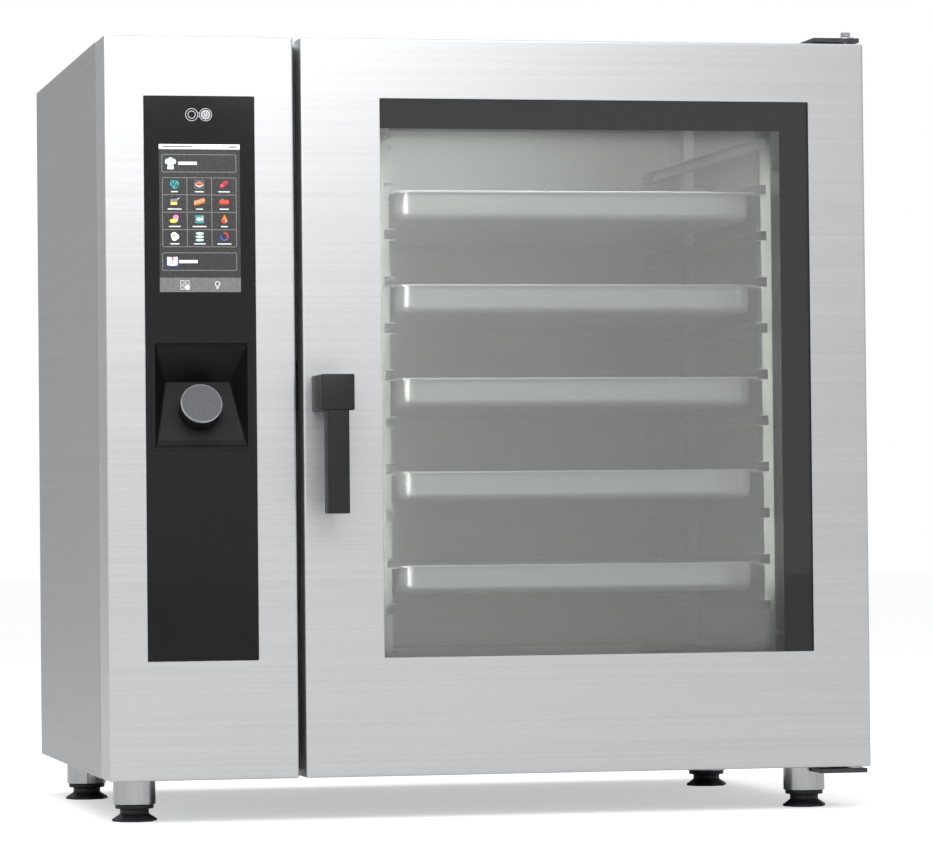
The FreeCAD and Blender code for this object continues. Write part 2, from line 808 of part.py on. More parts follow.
def steam_pipe():
    """Pipe from the boiler's lid into the fan chamber."""
    x, y = tank_centre()
    z = steam_axis_z()
    route = [V(x, y, deck_z + tank_height), V(x, y, z), V(cavity_x0 + steam_outlet_reach, y, z)]
    return swept_tube(route, steam_pipe_bend, steam_pipe_radius, steam_pipe_radius - pipe_wall)


def drain_pipe():
    """Drain from the cavity floor to a stub behind the oven."""
    pipe = swept_tube(drain_route(), drain_bend, drain_radius, drain_radius - pipe_wall)
    spot = V(drain_from_left, body_depth, drain_z)
    collar = pipe_piece(spot, V(0, 1, 0), drain_radius + pipe_collar, drain_radius, pipe_collar)
    return joined([pipe, collar])


def vent_flap_z():
    """Height of the vent flap's axle."""
    return (cavity_z1 + sheet + lid_z) / 2.0


def vent_chimney():
    """Vent pipe from the cavity roof through the lid, bored for the flap's axle."""
    up = V(0, 0, 1)
    foot_z = cavity_z1 + sheet
    pipe = pipe_piece(V(vent_from_left, vent_y, foot_z), up, vent_radius,
                      vent_radius - pipe_wall, top_z + vent_rise - foot_z)
    collar = pipe_piece(V(vent_from_left, vent_y, top_z), up, vent_radius + pipe_collar,
                        vent_radius, pipe_collar)
    across = rod(V(vent_from_left - 2 * vent_radius, vent_y, vent_flap_z()), V(1, 0, 0),
                 vent_axle_radius + vent_axle_clearance, 4 * vent_radius)
    return joined([pipe, collar]).cut(across)


def vent_flap():
    """Butterfly disc on its axle."""
    bore = vent_radius - pipe_wall
    z = vent_flap_z()
    disc = rod(V(vent_from_left, vent_y, z - vent_flap_thickness / 2.0), V(0, 0, 1),
               bore - vent_flap_clearance, vent_flap_thickness)
    half = vent_radius + vent_axle_overhang
    axle = rod(V(vent_from_left - half, vent_y, z), V(1, 0, 0), vent_axle_radius, 2 * half)
    return joined([disc, axle])


def water_inlets():
    """Two solenoid valves behind the rear panel with threaded stubs outside it."""
    valves = []
    back = V(0, 1, 0)
    z = base_z + inlet_height
    for x in inlet_positions:
        half = inlet_body / 2.0
        parts = [box(x - half, x + half, rear_y - inlet_body, rear_y, z - half, z + half)]
        parts.append(rod(V(x, rear_y, z), back, inlet_thread_radius, sheet + inlet_length))
        parts.append(rod(V(x, body_depth, z), back, inlet_collar_radius, inlet_collar))
        parts.append(rod(V(x, rear_y - half, z), V(0, 0, 1), half * 0.8, inlet_body * 1.4))
        valve = joined(parts)
        valves.append(valve.cut(rod(V(x, body_depth, z), back, inlet_thread_radius - 3,
                                    inlet_length + 1)))
    return Part.makeCompound(valves)


def cable_gland():
    """Mains cable gland with its lock nut inside the panel."""
    back = V(0, 1, 0)
    z = base_z + inlet_height
    x = gland_from_left
    parts = [rod(V(x, rear_y - gland_nut, z), back, gland_radius, gland_nut)]
    parts.append(rod(V(x, rear_y, z), back, gland_neck_radius, sheet))
    parts.append(rod(V(x, body_depth, z), back, gland_radius, gland_length))
    bore = rod(V(x, rear_y - 2 * gland_nut, z), back, gland_bore_radius, 4 * gland_length)
    return joined(parts).cut(bore)


# ---- Control column pieces ------------------------------------------------------------------
def scoop_solid(growth):
    """The finger recess as a solid: a side profile carried across, drafted at the sides."""
    profile = [(0.0, scoop_top), (scoop_depth, scoop_deep_z),
               (scoop_lip_depth, scoop_bottom + scoop_lip_height), (0.0, scoop_bottom)]
    side_wire = Part.makePolygon([V(0, y, z) for y, z in profile + profile[:1]])
    plan = [(-scoop_half_width, 0.0), (scoop_half_width, 0.0),
            (scoop_half_width - scoop_side_draft, scoop_depth),
            (scoop_side_draft - scoop_half_width, scoop_depth)]
    plan_wire = Part.makePolygon([V(x, y, 0) for x, y in plan + plan[:1]])
    faces = []
    for wire in (side_wire, plan_wire):
        face = Part.Face(wire)
        faces.append(face.makeOffset2D(growth, 2) if growth else face)
    reach = 4.0 * scoop_half_width
    across = faces[0].extrude(V(reach, 0, 0))
    across.translate(V(-reach / 2.0, 0, 0))
    upright = faces[1].extrude(V(0, 0, 2.0 * reach))
    upright.translate(V(0, 0, scoop_bottom - reach))
    solid = across.common(upright)
    solid.translate(V(panel_mid_x, 0, 0))
    return solid


def scoop_rect(growth):
    """The recess's outline on the glass (x0, x1, z0, z1)."""
    return grown((panel_mid_x - scoop_half_width, panel_mid_x + scoop_half_width,
                  scoop_bottom, scoop_top), growth)


def knob_tilt():
    """Angle of the recess's lower face from upright, in degrees."""
    run = scoop_depth - scoop_lip_depth
    rise = scoop_deep_z - scoop_bottom - scoop_lip_height
    return math.degrees(math.atan2(run, rise))


def knob_axis():
    """Unit vector along which the knob stands off the recess's lower face."""
    tilt = math.radians(knob_tilt())
    return V(0, -math.cos(tilt), math.sin(tilt))


def knob_base():
    """Middle of the recess's lower face."""
    z_low = scoop_bottom + scoop_lip_height
    return V(panel_mid_x, (scoop_depth + scoop_lip_depth) / 2.0, (scoop_deep_z + z_low) / 2.0)


def on_knob_axis(shape):
    """Move a shape built up from z = 0 onto the recess's lower face."""
    shape.Placement = FreeCAD.Placement(knob_base(), FreeCAD.Rotation(V(0, 0, 1), knob_axis()))
    return shape


def knob_scoop():
    """Moulded finger recess with a thin rim on the glass and a hole for the encoder."""
    outer = scoop_solid(scoop_wall)
    outer = outer.cut(box(0, column_width, -body_depth, 0, base_z, top_z))
    rim = box(*scoop_rect(scoop_rim_width)[:2], -scoop_rim_proud, 0, *scoop_rect(scoop_rim_width)[2:])
    hollow = scoop_solid(0)
    mouth_cut = box(*scoop_rect(0)[:2], -scoop_rim_proud - 1, 0, *scoop_rect(0)[2:])
    hole = on_knob_axis(rod(V(0, 0, -encoder_size), V(0, 0, 1), rotor_radius + encoder_hole_clearance,
                            2 * encoder_size))
    return joined([outer, rim]).cut([hollow, mouth_cut, hole])


def encoder_body():
    """Encoder housing on the back of the recess."""
    half = encoder_size / 2.0
    block = box(-half, half, -half, half, -rotor_length - 1.0, -scoop_wall)
    bore = rod(V(0, 0, -2 * encoder_size), V(0, 0, 1), rotor_radius + knob_running_clearance,
               3 * encoder_size)
    return on_knob_axis(block.cut(bore))


def encoder_rotor():
    """Sleeve that turns in the encoder and lets the knob's stem slide."""
    sleeve = pipe_piece(V(0, 0, -rotor_length), V(0, 0, 1), rotor_radius,
                        knob_stem_radius + knob_running_clearance, rotor_length + rotor_shoulder)
    return on_knob_axis(sleeve)


def control_knob():
    """Round knob with its stem."""
    cap = rod(V(0, 0, knob_gap), V(0, 0, 1), knob_radius, knob_height)
    front = [e for e in cap.Edges if e.BoundBox.ZMin > knob_gap + knob_height - 0.01]
    cap = cap.makeFillet(knob_rounding, front)
    stem = rod(V(0, 0, -knob_stem_length), V(0, 0, 1), knob_stem_radius, knob_stem_length + knob_gap)
    return on_knob_axis(joined([cap, stem]))


def panel_rect(growth):
    """Outline of the control glass (x0, x1, z0, z1)."""
    half = panel_width / 2.0
    return grown((panel_mid_x - half, panel_mid_x + half, panel_z0, panel_z1), growth)


def control_glass():
    """Flush black glass with the hole for the finger recess."""
    x0, x1, z0, z1 = panel_rect(0)
    glass = box(x0, x1, 0, panel_glass, z0, z1)
    return glass.cut(scoop_solid(scoop_wall + panel_clearance))


def display_rect(growth):
    """Outline of the display module (x0, x1, z0, z1)."""
    top = top_z - screen_drop_from_top
    half = screen_width / 2.0
    return grown((panel_mid_x - half, panel_mid_x + half, top - screen_height, top), growth)


def control_carrier():
    """Frame that holds the glass from behind and carries the display and the recess."""
    outer = panel_rect(carrier_lap)
    plate = box(outer[0], outer[1], sheet, sheet + carrier_thickness, outer[2], outer[3])
    pocket = panel_rect(panel_clearance)
    hole = display_rect(display_frame + panel_clearance)
    cutters = [box(pocket[0], pocket[1], 0, panel_glass, pocket[2], pocket[3])]
    cutters.append(box(hole[0], hole[1], 0, 5 * carrier_thickness, hole[2], hole[3]))
    cutters.append(scoop_solid(scoop_wall + panel_clearance))
    return plate.cut(cutters)


def display_module():
    """Touch display behind the glass, flanged against the carrier's back."""
    x0, x1, z0, z1 = display_rect(display_frame)
    back = sheet + carrier_thickness
    body = box(x0, x1, panel_glass, back + display_depth, z0, z1)
    fx0, fx1, fz0, fz1 = display_rect(display_frame + display_flange)
    return joined([body, box(fx0, fx1, back, back + 2 * chassis_sheet, fz0, fz1)])


def control_board():
    """Circuit board with its parts, on standoffs from the bulkhead."""
    x1 = column_width - board_standoff
    x0 = x1 - board_thickness
    y0 = board_from_front
    z0 = board_from_floor
    parts = [box(x0, x1, y0, y0 + board_length, z0, z0 + board_height)]
    for y in (y0 + 10, y0 + board_length - 10):
        for z in (z0 + 10, z0 + board_height - 10):
            parts.append(rod(V(x1, y, z), V(1, 0, 0), 4.0, board_standoff))
    relay_pitch = 34.0
    for i in range(5):
        z = z0 + 40 + i * relay_pitch
        parts.append(box(x0 - 18, x0, y0 + 20, y0 + 46, z, z + 26))
    for i in range(3):
        y = y0 + 80 + i * 40
        parts.append(rod(V(x0, y, z0 + 90), V(-1, 0, 0), 12.0, 32.0))
    parts.append(box(x0 - 14, x0, y0 + 15, y0 + board_length - 15, z0 + 330, z0 + 350))
    return joined(parts)


# ---- Door -----------------------------------------------------------------------------------
def window():
    """The door's window opening (x0, x1, z0, z1)."""
    return (window_x0, window_x1, window_z0, window_z1)


def door_outer_skin():
    """Folded stainless door skin with the window opening."""
    outer = box(door_x, body_width, 0, door_skin_return, base_z, top_z)
    hollow = box(door_x + sheet, body_width - sheet, sheet, door_thickness, base_z + sheet, lid_z)
    x0, x1, z0, z1 = window()
    cutters = [hollow, box(x0, x1, -1, sheet + 1, z0, z1)]
    pin_hole = hinge_pin_radius + bush_wall
    cutters.append(rod(V(hinge_x, hinge_depth, 0), V(0, 0, 1), pin_hole, 2 * top_z))
    cutters.append(rod(V(handle_x, -1, handle_z), V(0, 1, 0),
                       spindle_radius + spindle_hole_clearance, sheet + 2))
    return outer.cut(cutters)


def door_inner_frame():
    """Inner door pan with the reveal that spaces the two panes apart."""
    outer = (door_x + sheet, body_width - sheet, base_z + sheet, lid_z)
    back_y = door_thickness - sheet
    reveal = grown(window(), reveal_setback)
    plate = ring(outer, grown(window(), reveal_setback - glass_lip), back_y, door_thickness)
    fold = ring(outer, grown(outer, -sheet), door_skin_return - 2 * panel_flange, back_y)
    walls = ring(grown(reveal, sheet), reveal, sheet + outer_glass, back_y)
    hole = rod(V(handle_x, back_y - 1, handle_z), V(0, 1, 0),
               spindle_radius + spindle_hole_clearance, sheet + 2)
    pin_hole = rod(V(hinge_x, hinge_depth, 0), V(0, 0, 1), hinge_pin_radius + bush_wall, 2 * top_z)
    return joined([plate, fold, walls]).cut([hole, pin_hole])


def door_glass_outer():
    """Front pane, bonded to the back of the skin."""
    x0, x1, z0, z1 = grown(window(), glass_overlap)
    return box(x0, x1, sheet, sheet + outer_glass, z0, z1)


def door_glass_inner():
    """Rear pane, seated on the inner pan's lip."""
    x0, x1, z0, z1 = grown(window(), reveal_setback - glass_edge_clearance)
    back_y = door_thickness - sheet
    return box(x0, x1, back_y - inner_glass, back_y, z0, z1)


def door_led_strips():
    """Light strips on both upright walls of the reveal, hidden from the front."""
    x0, x1, z0, z1 = grown(window(), reveal_setback)
    mid = (z0 + z1) / 2.0
    y = 2 * led_depth
    left = box(x0, x0 + led_width, y, y + led_depth, mid - led_length / 2.0, mid + led_length / 2.0)
    right = box(x1 - led_width, x1, y, y + led_depth, mid - led_length / 2.0, mid + led_length / 2.0)
    return Part.makeCompound([left, right])


def hinge_block_levels():
    """Underside of the lower and upper hinge block, each against the inner pan's fold."""
    return (base_z + 2 * sheet, lid_z - sheet - hinge_block_height)


def hinge_blocks():
    """Steel blocks in the door's top and bottom corner that hold the hinge bushes."""
    blocks = []
    half = hinge_block_size / 2.0
    for z0 in hinge_block_levels():
        block = box(hinge_x - half, body_width - 2 * sheet, hinge_depth - half,
                    hinge_depth + half, z0, z0 + hinge_block_height)
        bore = rod(V(hinge_x, hinge_depth, z0), V(0, 0, 1), hinge_pin_radius + bush_wall,
                   hinge_block_height)
        blocks.append(block.cut(bore))
    return Part.makeCompound(blocks)


def hinge_bushes():
    """Plain bushes that turn on the fixed pins."""
    bushes = []
    for z0 in (base_z + sheet, hinge_block_levels()[1]):
        bushes.append(pipe_piece(V(hinge_x, hinge_depth, z0), V(0, 0, 1),
                                 hinge_pin_radius + bush_wall,
                                 hinge_pin_radius + hinge_running_clearance,
                                 hinge_block_height + sheet))
    return Part.makeCompound(bushes)


def hinge_brackets():
    """Upper bracket on the lid and lower bracket under the floor pan."""
    x1 = body_width - 2.0
    x0 = x1 - bracket_length
    nose_y = hinge_depth - washer_radius - bracket_gap
    rear = front_frame_y + bracket_rear_reach
    upper_z = top_z + bracket_gap
    upper = joined([box(x0, x1, nose_y, rear, upper_z, upper_z + bracket_thickness),
                    box(x0, x1, front_frame_y, rear, top_z, upper_z + bracket_thickness)])
    lower_z = base_z - bracket_gap - bracket_thickness
    lower = joined([box(x0, x1, nose_y, front_frame_y, lower_z, lower_z + bracket_thickness),
                    box(x1 - bracket_rear_width, x1, front_frame_y - 1, rear,
                        lower_z, lower_z + bracket_thickness),
                    box(x1 - bracket_rear_width, x1, frame_back_y, rear, lower_z, base_z)])
    bore = rod(V(hinge_x, hinge_depth, 0), V(0, 0, 1), hinge_pin_radius, 2 * top_z)
    return Part.makeCompound([upper.cut(bore), lower.cut(bore)])


def hinge_pins():
    """Upper bolt with its domed washer, and lower pin with its thrust washer."""
    up = V(0, 0, 1)
    spot = V(hinge_x, hinge_depth, 0)
    reach = hinge_block_height - 3.0
    plate_top = top_z + bracket_gap + bracket_thickness
    low = lid_z - reach
    upper = joined([rod(spot + V(0, 0, low), up, hinge_pin_radius, plate_top - low),
                    Part.makeCone(washer_radius, pin_head_radius, washer_height,
                                  spot + V(0, 0, plate_top), up),
                    rod(spot + V(0, 0, plate_top + washer_height), up, pin_head_radius - 1,
                        pin_head_height)])
    plate_bottom = base_z - bracket_gap - bracket_thickness
    washer_z = base_z - bracket_gap
    lower = joined([rod(spot + V(0, 0, plate_bottom), up, hinge_pin_radius,
                        base_z + sheet + reach - plate_bottom),
                    rod(spot + V(0, 0, washer_z), up, washer_radius,
                        bracket_gap - thrust_washer_gap)])
    return Part.makeCompound([upper, lower])


# ---- Handle and latch -----------------------------------------------------------------------
def handle_grip():
    """Lever: a deep block on the spindle with a bar hanging from its front end."""
    x0 = handle_x - handle_block_width / 2.0
    z1 = handle_z + handle_block_height / 2.0
    z0 = handle_z - handle_block_height / 2.0
    block = box(x0, x0 + handle_block_width, -handle_projection, -handle_face_gap, z0, z1)
    stem = box(handle_x - handle_stem_width / 2.0, handle_x + handle_stem_width / 2.0,
               -handle_projection, handle_stem_depth - handle_projection,
               z0 - handle_stem_length, z0)
    inner_y = handle_stem_depth - handle_projection
    web = Part.makePolygon([V(0, inner_y, z0), V(0, inner_y + handle_web, z0),
                            V(0, inner_y, z0 - handle_web), V(0, inner_y, z0)])
    web = Part.Face(web).extrude(V(handle_stem_width, 0, 0))
    web.translate(V(handle_x - handle_stem_width / 2.0, 0, 0))
    block = block.makeFillet(handle_rounding, block.Edges)
    grip = joined([block, stem, web])
    return grip.cut(rod(V(handle_x, -spindle_socket_depth, handle_z), V(0, 1, 0), spindle_radius,
                        spindle_socket_depth))


def latch_back_y():
    """Rear end of the latch hook and its spindle."""
    return front_frame_y + latch_nose_thickness - handle_rounding


def handle_spindle():
    """Steel bar from the grip through the door to the latch hook."""
    return rod(V(handle_x, -spindle_socket_depth, handle_z), V(0, 1, 0), spindle_radius,
               spindle_socket_depth + latch_back_y())


def handle_bush():
    """Bush across the door's hollow that the spindle turns in."""
    return pipe_piece(V(handle_x, sheet, handle_z), V(0, 1, 0), handle_bush_radius,
                      spindle_radius + spindle_running_clearance, door_thickness - 2 * sheet)


def latch_hook():
    """Hub and nose on the spindle's rear end, inside the keeper pocket."""
    front = door_thickness + latch_door_gap
    back = latch_back_y()
    hub = rod(V(handle_x, front, handle_z), V(0, 1, 0), latch_hub_radius, back - front)
    half = latch_nose_width / 2.0
    nose = box(handle_x - half, handle_x + half, back - latch_nose_thickness, back,
               handle_z, handle_z + latch_nose_reach)
    bore = rod(V(handle_x, front - 1, handle_z), V(0, 1, 0), spindle_radius, back - front + 2)
    return joined([hub, nose]).cut(bore)


def latch_keeper():
    """Open-fronted pocket behind the frame with the keeper pin across it."""
    rect = keeper_rect()
    back = frame_back_y + keeper_depth
    shell = keeper_block().cut(box(rect[0], rect[1], 0, back - sheet, rect[2], rect[3]))
    pin_z = handle_z + latch_nose_reach + keeper_pin_gap + keeper_pin_radius
    pin = rod(V(rect[0] - sheet, frame_back_y + keeper_pin_radius, pin_z), V(1, 0, 0),
              keeper_pin_radius, rect[1] - rect[0] + 2 * sheet)
    return joined([shell, pin])


# ---- Feet -----------------------------------------------------------------------------------
def foot_sleeves():
    """Four stainless tubes, closed at the top, under the floor pan."""
    sleeves = []
    for x, y in foot_spots.values():
        low = base_z - foot_tube_length
        tube = rod(V(x, y, low), V(0, 0, 1), foot_tube_radius, foot_tube_length)
        bore = rod(V(x, y, low), V(0, 0, 1), foot_tube_radius - foot_tube_wall,
                   foot_tube_length - foot_tube_cap)
        sleeves.append(tube.cut(bore))
    return Part.makeCompound(sleeves)


def foot_insert(spot):
    """Adjustable foot: faceted base, neck, collar and the stem in the sleeve."""
    x, y = spot
    up = V(0, 0, 1)
    collar_top = base_z - foot_tube_length - foot_stop_gap
    collar_z = collar_top - foot_collar
    neck_z = collar_z - foot_neck
    pad = Part.makeCylinder(foot_base_radius, foot_pad_height)
    flare = Part.makeCone(foot_base_radius, foot_neck_radius, neck_z - foot_pad_height,
                          V(0, 0, foot_pad_height), up)
    corners = []
    for i in range(foot_facets + 1):
        angle = 2.0 * math.pi * i / foot_facets
        corner_r = foot_base_radius / math.cos(math.pi / foot_facets) * 0.97
        corners.append(V(corner_r * math.cos(angle), corner_r * math.sin(angle), 0))
    prism = Part.Face(Part.makePolygon(corners)).extrude(V(0, 0, neck_z))
    base = joined([pad, flare]).common(prism)
    parts = [base, rod(V(0, 0, neck_z), up, foot_neck_radius, foot_neck),
             rod(V(0, 0, collar_z), up, foot_collar_radius, foot_collar),
             rod(V(0, 0, collar_top), up,
                 foot_tube_radius - foot_tube_wall - foot_slide_clearance, foot_stem_length)]
    insert = joined(parts)
    insert.translate(V(x, y, 0))
    return insert


# ---- All nodes ------------------------------------------------------------------------------
def build_nodes():
    """Every node's name with its shape."""
    seam_y = side_seam_depth + seam_gap
    makers = [base_frame, rear_panel, top_cover, column_fascia, front_frame, oven_cavity,
              cavity_insulation, door_gasket, fan_baffle, fan_motors, heating_elements,
              steam_generator, steam_pipe, drain_pipe, vent_chimney, vent_flap, water_inlets,
              cable_gland, panel_screws, control_glass, control_carrier, display_module,
              knob_scoop, encoder_body, encoder_rotor, control_knob, control_board,
              door_outer_skin, door_inner_frame, door_glass_outer, door_glass_inner,
              door_led_strips, hinge_blocks, hinge_bushes, hinge_brackets, hinge_pins,
              handle_grip, handle_spindle, handle_bush, latch_hook, latch_keeper, foot_sleeves]
    nodes = {maker.__name__: maker() for maker in makers}
    nodes["left_side_panel"] = side_panel(0.0, 1, seam_y)
    nodes["right_side_panel"] = side_panel(body_width, -1, front_frame_y)
    for side, word in ((-1, "left"), (1, "right")):
        nodes[f"rack_uprights_{word}"] = rack_uprights(side)
        nodes[f"rack_runners_{word}"] = rack_runners(side)
    for number, level in enumerate(tray_levels, 1):
        nodes[f"gn_tray_{number}"] = gn_tray(level)
    for word, centre_z in fan_centres.items():
        nodes[f"fan_wheel_{word}"] = fan_wheel(centre_z)
    for word, spot in foot_spots.items():
        nodes[f"foot_insert_{word}"] = foot_insert(spot)
    return nodes


def export(name, shape):
    """Move a shape to the part's frame and write its STEP file."""
    placed = shape.copy()
    placed.translate(origin * -1.0)
    placed.exportStep(os.path.join("parts", name + ".step"))


os.makedirs("parts", exist_ok=True)
nodes = build_nodes()
for name, shape in nodes.items():
    export(name, shape)
print(len(nodes), "nodes written")
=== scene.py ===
"""Looks of a free-standing combi steamer oven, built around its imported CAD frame.

Each sub-assembly is a class that reads its place from the frame, builds its surfaces with numpy and
dresses them.  Lengths are metres unless a name ends in _mm.
"""
import json
import logging
import math
from dataclasses import dataclass
from enum import Enum

import bmesh
import bpy
import numpy as np
from mathutils import Matrix, Vector


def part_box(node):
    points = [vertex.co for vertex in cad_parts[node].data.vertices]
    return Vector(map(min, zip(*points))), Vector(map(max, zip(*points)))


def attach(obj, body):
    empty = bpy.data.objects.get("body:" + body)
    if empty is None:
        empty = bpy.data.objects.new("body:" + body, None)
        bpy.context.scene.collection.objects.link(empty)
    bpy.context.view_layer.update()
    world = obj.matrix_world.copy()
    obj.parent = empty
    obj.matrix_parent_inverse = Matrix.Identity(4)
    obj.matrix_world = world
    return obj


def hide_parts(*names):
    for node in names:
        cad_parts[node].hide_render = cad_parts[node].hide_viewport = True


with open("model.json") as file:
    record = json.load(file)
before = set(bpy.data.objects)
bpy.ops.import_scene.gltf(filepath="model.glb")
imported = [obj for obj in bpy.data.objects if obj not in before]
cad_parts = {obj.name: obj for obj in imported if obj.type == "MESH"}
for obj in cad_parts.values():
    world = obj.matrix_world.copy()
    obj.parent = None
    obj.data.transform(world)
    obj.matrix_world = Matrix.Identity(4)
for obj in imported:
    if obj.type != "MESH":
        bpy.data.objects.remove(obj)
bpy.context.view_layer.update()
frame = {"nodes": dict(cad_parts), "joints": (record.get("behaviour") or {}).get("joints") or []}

log = logging.getLogger("oven")
MM = 0.001
ROUND_STEPS = 4
TURN_STEPS = 64


class Grain(Enum):
    """The direction in which a sheet was brushed."""

    ACROSS = (1.0, 0.0, 0.0)
    DEPTH = (0.0, 1.0, 0.0)
    UP = (0.0, 0.0, 1.0)


# ---- Shader helpers -------------------------------------------------------------------------
def rgba(hex_colour: str) -> tuple[float, float, float, float]:
    """Turn an sRGB hex colour into linear light.

    Args:
        hex_colour: Six hex digits with a leading hash.

    Returns:
        Linear red, green, blue and an alpha of 1.
    """
    channels = [int(hex_colour[i:i + 2], 16) / 255 for i in (1, 3, 5)]
    linear = [c / 12.92 if c <= 0.04045 else ((c + 0.055) / 1.055) ** 2.4 for c in channels]
    return (*linear, 1.0)


def add(tree: bpy.types.NodeTree, kind: str, links: dict | None = None, **settings: object
        ) -> bpy.types.Node:
    """Add a node with its settings, socket values and links.

    Args:
        tree: The node tree.
        kind: The node's type name without the ShaderNode prefix.
        links: Input name or index to an output socket or a plain value.
        settings: Properties of the node itself.

    Returns:
        The new node.
    """
    node = tree.nodes.new("ShaderNode" + kind)
    for name, value in settings.items():
        setattr(node, name, value)
    for key, value in (links or {}).items():
        if isinstance(value, bpy.types.NodeSocket):
            tree.links.new(value, node.inputs[key])
        else:
            node.inputs[key].default_value = value
    return node


def spread(tree: bpy.types.NodeTree, value: bpy.types.NodeSocket, low: float, high: float,
           start: float = 0.3, end: float = 0.7) -> bpy.types.NodeSocket:
    """Stretch a noise value between two numbers.

    Args:
        tree: The node tree.
        value: The noise output.
        low: The number at and below start.
        high: The number at and above end.
        start: Noise value that gives low.
        end: Noise value that gives high.

    Returns:
        The stretched output.
    """
    node = add(tree, "MapRange", {"Value": value, "From Min": start, "From Max": end,
                                  "To Min": low, "To Max": high})
    return node.outputs["Result"]


def noise(tree: bpy.types.NodeTree, sizes: tuple[float, float, float], detail: float = 3.0
          ) -> bpy.types.NodeSocket:
    """Noise whose blotches have a stated size along each axis.

    Args:
        tree: The node tree.
        sizes: Length of a blotch along x, y and z, in metres.
        detail: Octaves of the noise.

    Returns:
        The noise value, about 0.3 to 0.7.
    """
    place = add(tree, "TexCoord")
    scale = tuple(1.0 / size for size in sizes)
    mapped = add(tree, "Mapping", {"Vector": place.outputs["Object"], "Scale": scale})
    return add(tree, "TexNoise", {"Vector": mapped.outputs["Vector"], "Scale": 1.0,
                                  "Detail": detail}).outputs["Fac"]


def shade_mix(tree: bpy.types.NodeTree, factor: bpy.types.NodeSocket, dark: str, light: str
              ) -> bpy.types.NodeSocket:
    """Blend between two colours by a factor and return the colour output."""
    mix = add(tree, "Mix", {0: factor, 6: rgba(dark), 7: rgba(light)}, data_type="RGBA")
    return mix.outputs[2]


@dataclass(frozen=True)
class Finish:
    """A surface finish: base values of the shader, and how they vary over the piece."""

    name: str
    dark: str
    light: str
    metallic: float = 0.0
    rough: tuple[float, float] = (0.4, 0.5)
    blotch_mm: tuple[float, float, float] = (30.0, 30.0, 30.0)
    bump_mm: tuple[float, float, float] = (1.0, 1.0, 1.0)
    bump_height_mm: float = 0.02
    bump_strength: float = 0.2
    specular: float = 0.5
    glow: float = 0.0

    def build(self) -> bpy.types.Material:
        """Make the material: blotches drive colour and roughness, a finer noise drives bump.

        Returns:
            The node material, made once per name.
        """
        known = bpy.data.materials.get(self.name)
        if known:
            return known
        material = bpy.data.materials.new(self.name)
        material.use_nodes = True
        tree = material.node_tree
        shader = tree.nodes["Principled BSDF"]
        blotch = noise(tree, tuple(size * MM for size in self.blotch_mm))
        fine = noise(tree, tuple(size * MM for size in self.bump_mm), 2.0)
        colour = shade_mix(tree, spread(tree, blotch, 0.0, 1.0), self.dark, self.light)
        tree.links.new(colour, shader.inputs["Base Color"])
        both = add(tree, "Math", {0: blotch, 1: fine}, operation="ADD")
        rough = spread(tree, both.outputs[0], *self.rough, start=0.7, end=1.3)
        tree.links.new(rough, shader.inputs["Roughness"])
        bump = add(tree, "Bump", {"Height": fine, "Strength": self.bump_strength,
                                  "Distance": self.bump_height_mm * MM})
        tree.links.new(bump.outputs["Normal"], shader.inputs["Normal"])
        shader.inputs["Metallic"].default_value = self.metallic
        shader.inputs["Specular IOR Level"].default_value = self.specular
        if self.glow:
            tree.links.new(colour, shader.inputs["Emission Color"])
            shader.inputs["Emission Strength"].default_value = self.glow
        return material


def brushed(grain: Grain, name: str, dark: str = "#D0D1D3", light: str = "#D7D8DA") -> Finish:
    """Brushed AISI 304 sheet.

    The belt leaves parallel scratches, so highlights smear across them and the sheet shows faint
    streaks.  Real scratches are 0.05 to 0.2 mm apart; they are drawn 1.6 mm apart to show at all.

    Args:
        grain: Direction of the scratches.
        name: Material name.
        dark: Colour of the duller streaks.
        light: Colour of the brighter streaks.

    Returns:
        The finish.
    """
    (scratch_long, scratch_apart), (band_long, band_apart) = (260.0, 1.6), (900.0, 4.0)
    streak = tuple(scratch_long if along else scratch_apart for along in grain.value)
    band = tuple(band_long if along else band_apart for along in grain.value)
    return Finish(name, dark, light, metallic=1.0, rough=(0.4, 0.44), blotch_mm=band,
                  bump_mm=streak, bump_height_mm=0.05, bump_strength=0.3)


# Brushed stainless sheet: satin, streaked along the brushing.
STEEL_FRONT = brushed(Grain.ACROSS, "brushed_stainless_across")
# Side and top sheets: the same steel, its colour painted darker as shade on the sides.
STEEL_SIDE_SHADED = brushed(Grain.DEPTH, "brushed_stainless_depth_painted_shade", "#BFC0C2", "#C6C7C9")
STEEL_UPRIGHT = brushed(Grain.UP, "brushed_stainless_upright")
# Cold-rolled 2B cavity sheet: dull light grey with faint water marks.
CAVITY_STEEL = Finish("cavity_stainless_2b", "#BDBFBE", "#C8CAC9", metallic=1.0, rough=(0.42, 0.5),
                      blotch_mm=(90.0, 90.0, 60.0), bump_mm=(6.0, 6.0, 6.0))
# Deep-drawn and ball-polished pan steel: bright, soft reflections, faint drawing marks.
TRAY_STEEL = Finish("drawn_stainless_pan", "#ECEDED", "#F3F4F4", metallic=0.6, rough=(0.3, 0.34),
                    blotch_mm=(160.0, 160.0, 30.0), bump_mm=(60.0, 60.0, 9.0), bump_height_mm=0.01,
                    bump_strength=0.05)
# Polished tube: clear vertical reflections.
TUBE_STEEL = Finish("polished_stainless_tube", "#AEAFB1", "#BDBEC0", metallic=1.0, rough=(0.1, 0.16),
                    blotch_mm=(8.0, 8.0, 60.0), bump_mm=(1.5, 1.5, 60.0))
# Hot-dip galvanised sheet: bluish grey with large dull spangles.
ZINC = Finish("galvanised_sheet", "#8B9094", "#A7ACB0", metallic=0.9, rough=(0.38, 0.6),
              blotch_mm=(11.0, 11.0, 11.0), bump_mm=(5.0, 5.0, 5.0))
